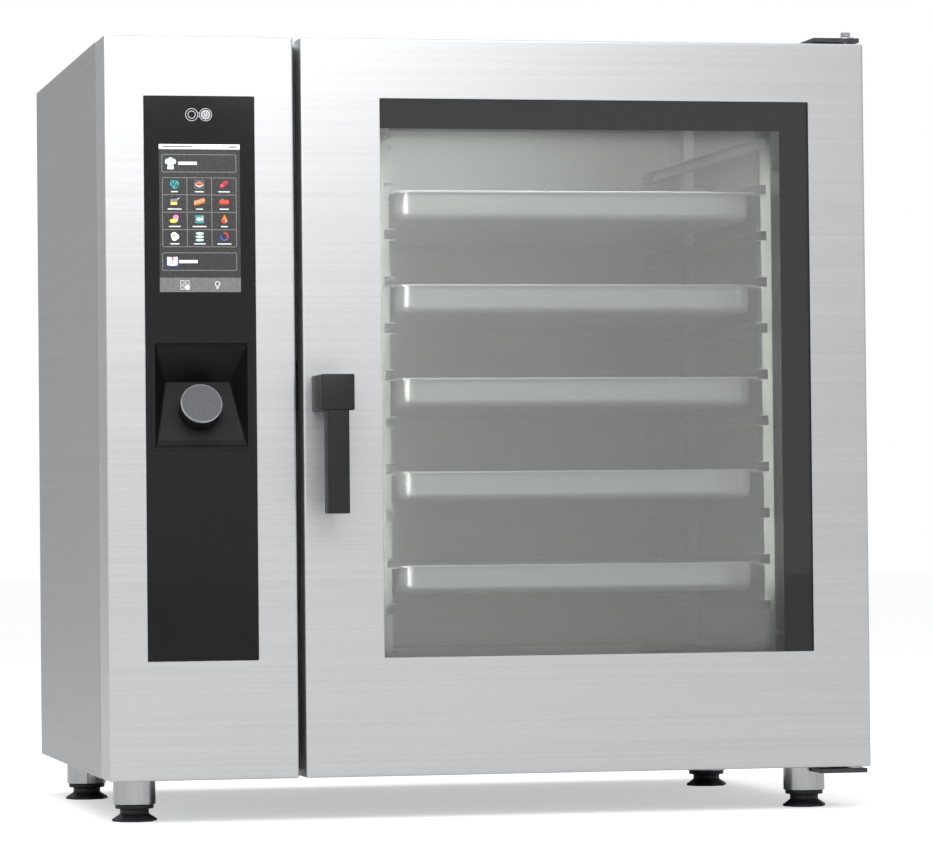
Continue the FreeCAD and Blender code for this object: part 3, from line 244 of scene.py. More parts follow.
# Bright zinc-plated turned steel: cool, glossy, fine turning rings.
PLATED = Finish("zinc_plated_steel", "#B5B8BD", "#D0D3D8", metallic=1.0, rough=(0.16, 0.3),
                blotch_mm=(4.0, 4.0, 2.0), bump_mm=(4.0, 4.0, 0.6))
# Laser-cut hinge plate: dark bead-blasted steel, bright only where it turns the light.
BRACKET_STEEL = Finish("blasted_hinge_plate", "#4B4C4F", "#5E5F62", metallic=1.0, rough=(0.35, 0.45),
                       blotch_mm=(8.0, 8.0, 8.0))
# Die-cast motor and valve bodies: grainy light grey.
CASTING = Finish("cast_aluminium", "#8E9092", "#A3A5A7", metallic=0.9, rough=(0.45, 0.6),
                 blotch_mm=(6.0, 6.0, 6.0), bump_mm=(0.9, 0.9, 0.9), bump_strength=0.4)
# Oil-filled sintered bronze: dull brown-yellow, speckled.
BRONZE = Finish("sintered_bronze", "#8A6A3E", "#A3814F", metallic=0.9, rough=(0.4, 0.55),
                blotch_mm=(1.5, 1.5, 1.5))
# Incoloy heater sheath: matt dark olive after heating.
HEATER = Finish("incoloy_sheath", "#3F3D38", "#5A564D", metallic=0.8, rough=(0.45, 0.6),
                blotch_mm=(14.0, 14.0, 14.0))
# Back-painted tempered glass: almost black, mirror-smooth, with the paint's faint cloudiness.
BLACK_GLASS = Finish("back_painted_glass", "#060607", "#09090A", rough=(0.07, 0.1),
                     blotch_mm=(120.0, 120.0, 120.0), bump_mm=(40.0, 40.0, 40.0),
                     bump_height_mm=0.01, bump_strength=0.05)
# Ceramic print fired on the back of the pane: satin black.
PRINT = Finish("ceramic_black_print", "#060607", "#0A0A0B", rough=(0.5, 0.6), specular=0.15,
               blotch_mm=(20.0, 20.0, 20.0), bump_mm=(0.5, 0.5, 0.5))
# Moulded glass-filled polyamide: matt black with a spark-eroded texture.
BLACK_PLASTIC = Finish("moulded_polyamide_black", "#08080A", "#0D0D0F", rough=(0.5, 0.6),
                       specular=0.3, blotch_mm=(9.0, 9.0, 9.0), bump_mm=(0.9, 0.9, 0.9),
                       bump_height_mm=0.05, bump_strength=0.35)
# Handle plastic: the same polyamide from a finer mould, a shade lighter.
HANDLE_PLASTIC = Finish("moulded_polyamide_fine", "#0B0B0C", "#101011", rough=(0.4, 0.5),
                        blotch_mm=(14.0, 14.0, 14.0), bump_mm=(0.7, 0.7, 0.7), bump_height_mm=0.03)
# Soft-touch knob face: mid grey with a fine sandy grain.
KNOB_GREY = Finish("grained_knob_face", "#4B4C50", "#636468", rough=(0.5, 0.65),
                   blotch_mm=(1.8, 1.8, 1.8), bump_mm=(1.1, 1.1, 1.1), bump_height_mm=0.08,
                   bump_strength=0.5)
# Knob rim: the same grey, smoother, with its colour painted lighter as a highlight on the rounded edge.
KNOB_RIM_HIGHLIGHT = Finish("knob_rim_painted_highlight", "#8A8B8F", "#9FA0A4", rough=(0.35, 0.45))
# Powder coat on the foot: black with orange peel.
POWDER = Finish("black_powder_coat", "#141415", "#1C1C1D", rough=(0.32, 0.45),
                bump_mm=(1.6, 1.6, 1.6), bump_height_mm=0.06, bump_strength=0.4)
# Silicone rubber: dark, matt, slightly dusty.
RUBBER = Finish("silicone_rubber", "#1B1B1C", "#262627", rough=(0.55, 0.7), bump_mm=(1.2, 1.2, 1.2))
# Mineral wool: yellow-grey fibre mat.
WOOL = Finish("mineral_wool", "#8C8254", "#B5AA78", rough=(0.85, 0.95), blotch_mm=(7.0, 7.0, 7.0),
              bump_mm=(1.5, 1.5, 1.5), bump_height_mm=0.8, bump_strength=0.8)
# Epoxy circuit board with its solder mask: green, satin.
BOARD = Finish("solder_mask_board", "#14432A", "#1E5B3A", rough=(0.35, 0.5), blotch_mm=(9.0, 9.0, 9.0))
# Opal diffuser over the light strips, lit from behind.
DIFFUSER = Finish("opal_diffuser", "#EDEEE9", "#F7F7F4", rough=(0.5, 0.6), glow=20.0)


def ink(name: str, colour: str) -> Finish:
    """A lit colour of the touch display, or a printed mark, with the panel's faint unevenness.

    Args:
        name: The colour's name.
        colour: Its sRGB hex.

    Returns:
        The finish.
    """
    red, green, blue = (int(colour[i:i + 2], 16) for i in (1, 3, 5))
    dark = "#" + "".join(f"{int(channel * 0.93):02X}" for channel in (red, green, blue))
    return Finish("display_" + name, dark, colour, rough=(0.25, 0.3), blotch_mm=(5.0, 5.0, 5.0),
                  bump_strength=0.02, glow=0.72)


@dataclass(frozen=True)
class ClearPane:
    """Float glass: clear straight on, mirror-like at a glance, milky where it has a haze."""

    name: str = "toughened_float_glass"
    tint: str = "#FCFDFC"
    haze: float = 0.0
    blur: tuple[float, float] = (0.01, 0.03)

    def build(self) -> bpy.types.Material:
        """Mix a see-through shader with a gloss by Fresnel, plus a constant haze.

        Returns:
            The node material.
        """
        known = bpy.data.materials.get(self.name)
        if known:
            return known
        material = bpy.data.materials.new(self.name)
        material.use_nodes = True
        tree = material.node_tree
        tree.nodes.clear()
        clear = add(tree, "BsdfTransparent", {"Color": rgba(self.tint)})
        smear = spread(tree, noise(tree, (0.09, 0.09, 0.14)), *self.blur)
        gloss = add(tree, "BsdfGlossy", {"Color": rgba("#FFFFFF"), "Roughness": smear})
        fresnel = add(tree, "Fresnel", {"IOR": 1.5})
        share = add(tree, "Math", {0: fresnel.outputs[0], 1: self.haze}, operation="ADD")
        mixed = add(tree, "MixShader", {0: share.outputs[0], 1: clear.outputs[0], 2: gloss.outputs[0]})
        add(tree, "OutputMaterial", {"Surface": mixed.outputs[0]})
        return material


# ---- Surface helpers ------------------------------------------------------------------------
def grid_faces(rows: int, columns: int, wrap_rows: bool, wrap_columns: bool, first: int = 0
               ) -> np.ndarray:
    """Corner indices of the four-sided faces between neighbouring grid points.

    Args:
        rows: Number of grid rows.
        columns: Number of grid columns.
        wrap_rows: Whether the last row joins the first.
        wrap_columns: Whether the last column joins the first.
        first: Index of the grid's first point.

    Returns:
        An array of faces by four corners.
    """
    r = np.arange(rows if wrap_rows else rows - 1)[:, None]
    c = np.arange(columns if wrap_columns else columns - 1)[None, :]
    r1, c1 = (r + 1) % rows, (c + 1) % columns
    corners = [r * columns + c, r * columns + c1, r1 * columns + c1, r1 * columns + c]
    return first + np.stack(corners, axis=-1).reshape(-1, 4)


def at_depth(flat: np.ndarray, depth: float) -> np.ndarray:
    """Place x and z points at one y."""
    return np.column_stack([flat[:, 0], np.full(len(flat), depth), flat[:, 1]])


def quarter_round(steps: int) -> list[tuple[float, float]]:
    """How far a quarter circle stays from its two sides, as shares of its radius.

    Args:
        steps: Points past the first.

    Returns:
        Pairs 1 - sin and 1 - cos of an angle that runs from 0 to 90 degrees.
    """
    angles = np.linspace(0.0, math.pi / 2, steps + 1)
    return [(1 - math.sin(angle), 1 - math.cos(angle)) for angle in angles]


class Skin:
    """Points and faces gathered from several surfaces before they become one mesh."""

    def __init__(self) -> None:
        """Start with nothing."""
        self.points: list[np.ndarray] = []
        self.faces: list[list[int]] = []
        self.kinds: list[int] = []
        self.count = 0

    def grid(self, points: np.ndarray, wrap_rows: bool = False, wrap_columns: bool = True,
             kind: int = 0) -> "Skin":
        """Add a surface given as rows by columns by three coordinates.

        Args:
            points: The grid's points.
            wrap_rows: Whether the last row joins the first.
            wrap_columns: Whether the last column joins the first.
            kind: Index of the finish.

        Returns:
            This skin.
        """
        rows, columns, _ = points.shape
        found = grid_faces(rows, columns, wrap_rows, wrap_columns, self.count)
        self.points.append(points.reshape(-1, 3))
        self.faces.extend(found.tolist())
        self.kinds.extend([kind] * len(found))
        self.count += rows * columns
        return self

    def prism(self, outline: np.ndarray, front: float, back: float, kind: int = 0) -> "Skin":
        """Add a flat plate: an outline in x and z, carried from one depth to another.

        Args:
            outline: Points by x and z.
            front: The y of the front face.
            back: The y of the back face.
            kind: Index of the finish.

        Returns:
            This skin.
        """
        count = len(outline)
        first = self.count
        self.grid(np.stack([at_depth(outline, front), at_depth(outline, back)]), kind=kind)
        self.faces.append(list(range(first, first + count)))
        self.faces.append(list(range(first + 2 * count - 1, first + count - 1, -1)))
        self.kinds.extend([kind] * 2)
        return self

    def band(self, outer: np.ndarray, inner: np.ndarray, front: float, back: float, kind: int = 0
             ) -> "Skin":
        """Add a flat plate between two outlines with the same number of points.

        Args:
            outer: Outer outline by x and z.
            inner: Inner outline by x and z.
            front: The y of the front face.
            back: The y of the back face.
            kind: Index of the finish.

        Returns:
            This skin.
        """
        corners = ((outer, front), (outer, back), (inner, back), (inner, front))
        loops = [at_depth(outline, depth) for outline, depth in corners]
        return self.grid(np.stack(loops), wrap_rows=True, kind=kind)

    def make(self, name: str, finishes: list[Finish], body: str, slot: str,
             smooth_deg: float = 32.0, replaced: tuple[str, ...] = ()) -> bpy.types.Object:
        """Turn the gathered surfaces into one object and attach it to its body.

        Args:
            name: The piece's name.
            finishes: One finish per kind.
            body: The CAD body that it moves with.
            slot: Not used.
            smooth_deg: Faces that meet at less than this angle are shaded as one.
            replaced: CAD nodes that it stands for.

        Returns:
            The new object.
        """
        mesh = bpy.data.meshes.new(name)
        mesh.from_pydata(np.concatenate(self.points).tolist(), [], self.faces)
        mesh.polygons.foreach_set("material_index", self.kinds)
        shape = bmesh.new()
        shape.from_mesh(mesh)
        bmesh.ops.remove_doubles(shape, verts=shape.verts, dist=2e-6)
        bmesh.ops.recalc_face_normals(shape, faces=shape.faces)
        shape.to_mesh(mesh)
        shape.free()
        mesh.shade_smooth()
        mesh.set_sharp_from_angle(angle=math.radians(smooth_deg))
        piece = bpy.data.objects.new(name, mesh)
        bpy.context.scene.collection.objects.link(piece)
        for finish in finishes:
            mesh.materials.append(finish.build())
        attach(piece, body)
        if replaced:
            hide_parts(*replaced)
        log.info("%s: %d faces on %s", name, len(mesh.polygons), body)
        return piece


def rect_loop(x0: float, x1: float, z0: float, z1: float, radius: float, steps: int = ROUND_STEPS
              ) -> np.ndarray:
    """A rectangle with quarter-circle corners, as x and z points.

    Each corner is its centre plus the radius times the cosine and sine of an angle.

    Args:
        x0: Left side.
        x1: Right side.
        z0: Lower side.
        z1: Upper side.
        radius: Corner radius.
        steps: Points past the first on each corner.

    Returns:
        Points, anticlockwise from the lower left corner.
    """
    quarter = np.linspace(0.0, math.pi / 2, steps + 1)
    corners = [(x0, z0, 1, 1, math.pi), (x1, z0, -1, 1, 1.5 * math.pi),
               (x1, z1, -1, -1, 0.0), (x0, z1, 1, -1, 0.5 * math.pi)]
    loops = []
    for x, z, sx, sz, start in corners:
        angle = start + quarter
        loops.append(np.column_stack([x + sx * radius + radius * np.cos(angle),
                                      z + sz * radius + radius * np.sin(angle)]))
    return np.concatenate(loops)


def disc_loop(x: float, z: float, across: float, up: float | None = None, start_deg: float = 0.0,
              end_deg: float = 360.0, count: int = 28) -> np.ndarray:
    """An ellipse or an arc of one, as x and z points.

    Args:
        x: Its middle.
        z: Its middle.
        across: Half its width.
        up: Half its height, if that differs.
        start_deg: Where it starts.
        end_deg: Where it ends.
        count: Number of points.

    Returns:
        The points, anticlockwise.
    """
    whole = abs(end_deg - start_deg) >= 360.0
    angle = np.radians(np.linspace(start_deg, end_deg, count, endpoint=not whole))
    return np.column_stack([x + across * np.cos(angle), z + (up or across) * np.sin(angle)])


def rect_stack(levels: list[tuple[float, float, float, float, float, float]]) -> np.ndarray:
    """Rounded rectangles stacked upwards.

    Args:
        levels: For each rectangle its span in x, its span in y, its corner radius and its height.

    Returns:
        Rows by columns by three coordinates.
    """
    loops = []
    for x0, x1, y0, y1, radius, height in levels:
        flat = rect_loop(x0, x1, y0, y1, radius)
        loops.append(np.column_stack([flat, np.full(len(flat), height)]))
    return np.stack(loops)


def turned(profile: list[tuple[float, float]], centre: np.ndarray, axis: np.ndarray,
           steps: int = TURN_STEPS) -> np.ndarray:
    """A profile turned about an axis.

    A point is the centre, plus its height along the axis, plus its radius times the cosine and
    sine of the turn along the two directions square to the axis.

    Args:
        profile: Radius and height pairs.
        centre: A point on the axis at height 0.
        axis: The axis direction.
        steps: Points round the turn.

    Returns:
        Rows by columns by three coordinates.
    """
    axis = np.asarray(axis, float) / np.linalg.norm(axis)
    side = np.cross(axis, (0.0, 0.0, 1.0) if abs(axis[2]) < 0.9 else (1.0, 0.0, 0.0))
    side = side / np.linalg.norm(side)
    other = np.cross(axis, side)
    angle = np.linspace(0.0, 2 * math.pi, steps, endpoint=False)
    radius, height = np.asarray(profile, float).T
    around = np.cos(angle)[:, None] * side + np.sin(angle)[:, None] * other
    return (np.asarray(centre) + height[:, None, None] * axis
            + radius[:, None, None] * around[None, :, :])


def folded_shell(outer: tuple[float, float, float, float], hole: tuple[float, float, float, float],
                 front: float, back: float, wall: float, fold: float) -> np.ndarray:
    """A sheet with a rectangular hole whose four edges are folded back.

    The sheet's section runs from the hole to the fold, round a quarter circle, back along the
    return and home on the inside; it is carried round the rectangle.

    Args:
        outer: Left, right, lower and upper side.
        hole: The same for the hole.
        front: The y of the front face.
        back: The y where the return ends.
        wall: Sheet thickness.
        fold: Outer radius of the folds.

    Returns:
        Rows by columns by three coordinates, closed both ways.
    """
    x0, x1, z0, z1 = outer
    lip = 0.6 * MM
    section = [("hole", 0.0, front + lip), ("hole", lip, front), ("hole", 3 * lip, front),
               ("edge", fold + 3 * lip, front)]
    for side, rear in quarter_round(ROUND_STEPS + 1):
        section.append(("edge", fold * side, front + fold * rear))
    section += [("edge", 0.0, front + fold + 3 * lip), ("edge", 0.0, back), ("edge", wall, back)]
    inner = fold - wall
    for angle in np.linspace(math.pi / 2, 0.0, 3):
        section.append(("edge", fold - inner * math.sin(angle), front + fold - inner * math.cos(angle)))
    section.append(("hole", 0.0, front + wall))
    loops = []
    for side, inset, depth in section:
        if side == "hole":
            flat = rect_loop(hole[0] - inset, hole[1] + inset, hole[2] - inset, hole[3] + inset,
                             1.0 * MM)
        else:
            flat = rect_loop(x0 + inset, x1 - inset, z0 + inset, z1 - inset,
                             max(fold - inset, 0.2 * MM))
        loops.append(at_depth(flat, depth))
    return np.stack(loops)


def block(skin: Skin, low: np.ndarray, high: np.ndarray, radius: float, kind: int = 0) -> Skin:
    """Add a block whose edges and corners are rounded.

    The faces of a cube are grids; each point is the nearest point of the smaller inner block plus
    the radius along the direction away from it.

    Args:
        skin: Where it goes.
        low: Lowest corner.
        high: Highest corner.
        radius: Rounding of every edge.
        kind: Index of the finish.

    Returns:
        The skin.
    """
    low, high = np.asarray(low, float), np.asarray(high, float)
    turn = np.tan(np.linspace(-math.pi / 4, 0.0, ROUND_STEPS))
    samples = np.concatenate([turn, -turn[::-1]])
    is_high = np.concatenate([np.zeros(ROUND_STEPS, bool), np.ones(ROUND_STEPS, bool)])
    first, second = np.meshgrid(np.arange(len(samples)), np.arange(len(samples)), indexing="ij")
    for axis in range(3):
        a, b = (axis + 1) % 3, (axis + 2) % 3
        for side in (-1.0, 1.0):
            away = np.zeros(first.shape + (3,))
            away[..., axis], away[..., a], away[..., b] = side, samples[first], samples[second]
            away /= np.linalg.norm(away, axis=-1, keepdims=True)
            core = np.zeros_like(away)
            core[..., axis] = high[axis] - radius if side > 0 else low[axis] + radius
            for k, index in ((a, first), (b, second)):
                core[..., k] = np.where(is_high[index], high[k] - radius, low[k] + radius)
            skin.grid(core + radius * away, wrap_columns=False, kind=kind)
    return skin


def box_of(node: str) -> tuple[np.ndarray, np.ndarray]:
    """Lowest and highest corner of a CAD node, as arrays."""
    low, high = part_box(node)
    return np.array(low), np.array(high)


def joint_named(name: str) -> dict:
    """The record's joint with that name."""
    return next(joint for joint in frame["joints"] if joint["name"] == name)


def dress(node: str, finish: Finish | ClearPane) -> None:
    """Give a CAD node a finish.

    Args:
        node: The node's name.
        finish: The finish to build and assign.
    """
    mesh = frame["nodes"][node].data
    mesh.materials.clear()
    mesh.materials.append(finish.build())


# ---- Cabinet --------------------------------------------------------------------------------
@dataclass
class Cabinet:
    """Outer sheets, services at the back, and a black strip that paints the shade in the gap beside the door.
    """

    wall: float = 1.5 * MM
    fold: float = 2.4 * MM
    glass_clearance: float = 0.4 * MM
    shade_strip_inset: float = 9.0 * MM

    def build(self) -> None:
        """Make the column cover, the black strip of painted shade in the gap and the back's fittings."""
        low, high = box_of("column_fascia")
        glass_low, glass_high = box_of("control_glass")
        gap = self.glass_clearance
        hole = (glass_low[0] - gap, glass_high[0] + gap, glass_low[2] - gap, glass_high[2] + gap)
        shell = folded_shell((low[0], high[0], low[2], high[2]), hole, low[1], high[1],
                             self.wall, self.fold)
        Skin().grid(shell, wrap_rows=True).make("column_cover", [STEEL_FRONT], "cabinet",
                                                "brushed_stainless", replaced=("column_fascia",))
        self.gap_shade_strip(high[0])
        self.screws()
        self.drain_and_vent()
        self.inlets_and_gland()

    def gap_shade_strip(self, column_edge: float) -> None:
        """Black strip on the jamb, in the gap between the column and the door: painted shade where the gap is
        dark, given the rubber finish.

        Args:
            column_edge: The x of the column's right side.
        """
        door_low, door_high = box_of("door_outer_skin")
        jamb = box_of("front_frame")[0][1]
        skin = Skin()
        # A dark strip put where the gap lies in shade: painted shade.
        block(skin, (column_edge + 0.4 * MM, jamb - 16 * MM, door_low[2] + self.shade_strip_inset),
              (door_low[0] - 1.2 * MM, jamb - 0.1 * MM, door_high[2] - self.shade_strip_inset), 1.5 * MM)
        skin.make("door_gap_shade_strip", [RUBBER], "cabinet", "silicone_rubber")

    def screws(self, rows: int = 4, head: float = 4.5 * MM) -> None:
        """Domed screw heads with a round socket, in two columns on the rear panel.

        Args:
            rows: Screws in a column.
            head: Head radius.
        """
        low, high = box_of("panel_screws")
        rear = box_of("rear_panel")[1][1]
        tall = high[1] - rear
        profile = [(head, 0.0), (head, 0.3 * tall)]
        for angle in np.linspace(0.15, 1.1, 5):
            profile.append((head * math.cos(angle), tall * (0.3 + 0.7 * math.sin(angle) / 0.9)))
        profile = [(r, min(h, tall)) for r, h in profile]
        profile += [(0.36 * head, tall), (0.34 * head, 0.35 * tall), (0.0, 0.3 * tall)]
        skin = Skin()
        for x in (low[0] + head, high[0] - head):
            for z in np.linspace(low[2] + head, high[2] - head, rows):
                skin.grid(turned([(0.0, 0.0)] + profile, (x, rear, z), (0, 1, 0), 24))
        skin.make("rear_screw_heads", [PLATED], "cabinet", "machined_steel")

    def drain_and_vent(self, bend: float = 45 * MM, pipe: float = 25 * MM, wall: float = 2 * MM) -> None:
        """Drain tube with its bend and collar, and the vent tube with a rolled rim.

        Args:
            bend: Centre line radius of the drain's bend.
            pipe: Outer radius of the drain.
            wall: Wall of both pipes.
        """
        low, high = box_of("drain_pipe")
        collar = (high[0] - low[0]) / 2 - pipe
        x, z = (low[0] + high[0]) / 2, low[2] + collar + pipe
        y = low[1] + pipe
        turn = np.linspace(0.0, math.pi / 2, 9)
        path = [(y, high[2])] + [(y + bend * (1 - math.cos(a)), z + bend * (1 - math.sin(a)))
                                 for a in turn] + [(high[1], z)]
        directions = [(0.0, -1.0)] + [(math.sin(a), -math.cos(a)) for a in turn] + [(1.0, 0.0)]
        angle = np.linspace(0, 2 * math.pi, TURN_STEPS, endpoint=False)
        walls = []
        for radius in (pipe, pipe - wall):
            rows = []
            for (cy, cz), (dy, dz) in zip(path, directions):
                rows.append(np.column_stack([x + radius * np.cos(angle),
                                             cy - dz * radius * np.sin(angle),
                                             cz + dy * radius * np.sin(angle)]))
            walls.append(rows)
        skin = Skin().grid(np.stack(walls[0] + walls[1][::-1]), wrap_rows=True)
        rear = box_of("rear_panel")[1][1]
        edge = 0.6 * MM
        ring = [(pipe, 0.0), (pipe + collar, 0.0), (pipe + collar, 3 * MM - edge),
                (pipe + collar - edge, 3 * MM), (pipe, 3 * MM), (pipe, 0.0)]
        skin.grid(turned(ring, (x, rear, z), (0, 1, 0)))
        skin.make("drain_tube", [TUBE_STEEL], "cabinet", "brushed_stainless", replaced=("drain_pipe",))
        low, high = box_of("vent_chimney")
        cx, cy = (low[0] + high[0]) / 2, (low[1] + high[1]) / 2
        collar_radius = (high[0] - low[0]) / 2
        vent = collar_radius - 3 * MM
        lid = box_of("top_cover")[1][2]
        rim = [(vent, lid + 3 * MM), (vent, high[2] - 1.4 * MM)]
        for turn_angle in np.linspace(0.0, math.pi, 7):
            rim.append((vent - wall / 2 + (wall / 2) * math.cos(turn_angle),
                        high[2] - 1.0 * MM + 1.0 * MM * math.sin(turn_angle)))
        rim += [(vent - wall, low[2]), (vent, low[2]), (vent, lid), (collar_radius, lid),
                (collar_radius, lid + 2.4 * MM), (collar_radius - edge, lid + 3 * MM), (vent, lid + 3 * MM)]
        Skin().grid(turned(rim, (cx, cy, 0.0), (0, 0, 1))).make(
            "vent_tube", [TUBE_STEEL], "cabinet", "brushed_stainless", replaced=("vent_chimney",))

    def inlets_and_gland(self, pitch: float = 1.8 * MM) -> None:
        """Threads on the water inlets, and the gland's round body and dome.

        The thread is a surface whose radius rises and falls as a triangle wave of the distance
        along the axis in pitches, less the share of a turn.

        Args:
            pitch: Distance between thread crests.
        """
        low, high = box_of("water_inlets")
        rear = box_of("rear_panel")[1][1]
        radius = 13.2 * MM
        body = 15.0 * MM
        z = low[2] + body
        span = high[1] - rear - 4.0 * MM
        rows = int(span / pitch * 6)
        turn = np.linspace(0, 2 * math.pi, 48, endpoint=False)
        along = np.linspace(0.0, span, rows)
        phase = (along[:, None] / pitch - turn[None, :] / (2 * math.pi)) % 1.0
        fade = (0.02 + np.sin(np.linspace(0, math.pi, rows)) ** 0.3)[:, None]
        lift = 0.5 * MM * (1 - np.abs(2 * phase - 1)) * fade
        skin = Skin()
        for x in (low[0] + body, high[0] - body):
            r = radius + 0.02 * MM + lift
            depth = np.broadcast_to((rear + 3.2 * MM + along)[:, None], r.shape)
            points = np.stack([x + r * np.cos(turn), depth, z + r * np.sin(turn)], axis=-1)
            inner = points.copy()
            inner[..., 0] = x + (radius - 0.3 * MM) * np.cos(turn)
            inner[..., 2] = z + (radius - 0.3 * MM) * np.sin(turn)
            skin.grid(np.concatenate([points, inner[::-1]]), wrap_rows=True)
        skin.make("inlet_threads", [BRONZE], "cabinet", "machined_steel", 60.0)
        low, high = box_of("cable_gland")
        cx, cz = (low[0] + high[0]) / 2, (low[2] + high[2]) / 2
        big = (high[0] - low[0]) / 2
        tall = high[1] - rear
        bore = 9.0 * MM
        dome = [(bore, 0.0), (big * 0.96, 0.0), (big, 0.8 * MM), (big, 6 * MM), (big * 0.9, 7 * MM),
                (big * 0.9, 9 * MM), (big * 0.97, 10 * MM), (big * 0.97, tall - 7 * MM)]
        for angle in np.linspace(0.2, math.pi / 2, 6):
            dome.append((bore + (big * 0.97 - bore) * math.cos(angle),
                         tall - 7 * MM + 7 * MM * math.sin(angle)))
        dome.append((bore, 0.0))
        points = turned(dome, (cx, rear, cz), (0, 1, 0), 48)
        Skin().grid(points).make("gland_dome", [BLACK_PLASTIC], "cabinet", "black_plastic")

    def dress(self) -> None:
        """Finish the CAD sheets that stay as they are."""
        # The side and top sheets take the darker copy of the steel: painted shade.
        for node in ("left_side_panel", "right_side_panel", "top_cover"):
            dress(node, STEEL_SIDE_SHADED)
        for node in ("front_frame", "rear_panel"):
            dress(node, STEEL_FRONT)
        dress("base_frame", ZINC)
        dress("panel_screws", PLATED)
        dress("water_inlets", CASTING)
        dress("cable_gland", BLACK_PLASTIC)
        dress("vent_flap", CAVITY_STEEL)
        dress("hinge_brackets", BRACKET_STEEL)


# ---- Control column -------------------------------------------------------------------------
class Mark(Enum):
    """Colours shown on the display and printed on the glass."""

    PAGE = "#2F2F2F"
    LINE = "#7A7A7A"
    WHITE = "#F4F4F4"
    SILVER = "#C9D0D2"
    GREY = "#686868"
    TEAL = "#3E8F93"
    RED = "#D8322A"
    BRICK = "#A8323A"
    ORANGE = "#EE7A1C"
    YELLOW = "#F2C94C"
    PINK = "#F27FB2"
    CYAN = "#BFE9E6"
    BLUE = "#2F57C4"
    VIOLET = "#6A55A8"
    PRINT = "#A9AAAC"


class Form(Enum):
    """What the numbers of a picture's part mean, in mm from the picture's middle."""

    DISC = "x, z, half width and, if it differs, half height"
    BAR = "left, right, lower and upper side"
    FRAME = "the same, for a thin frame"
    ARC = "outer and inner radius, start and end in degrees"
    SHAPE = "corners"


# Each part of a picture: colour, layer, form, then one tuple of numbers for each piece.
CHEF_HAT = (
    (Mark.SILVER, 2, Form.DISC, (-3.6, 2.2, 4.0), (3.6, 2.2, 4.0), (0.0, 3.6, 4.2), (0.0, -1.0, 4.2)),
    (Mark.WHITE, 2, Form.BAR, (-4.2, 4.2, -8.0, -3.4)),
    (Mark.ORANGE, 3, Form.BAR, (-4.2, 4.2, -4.2, -3.4)))
OPEN_BOOK = (
    (Mark.BLUE, 2, Form.BAR, (-7.6, 7.6, -6.6, 6.2)),
    (Mark.WHITE, 3, Form.SHAPE, ((-0.2, -5.8), (-6.8, -4.6), (-6.8, 6.4), (-0.2, 5.4)),
     ((0.2, -5.8), (6.8, -4.6), (6.8, 6.4), (0.2, 5.4))),
    (Mark.RED, 4, Form.BAR, (-0.9, 0.9, 1.0, 6.0)))
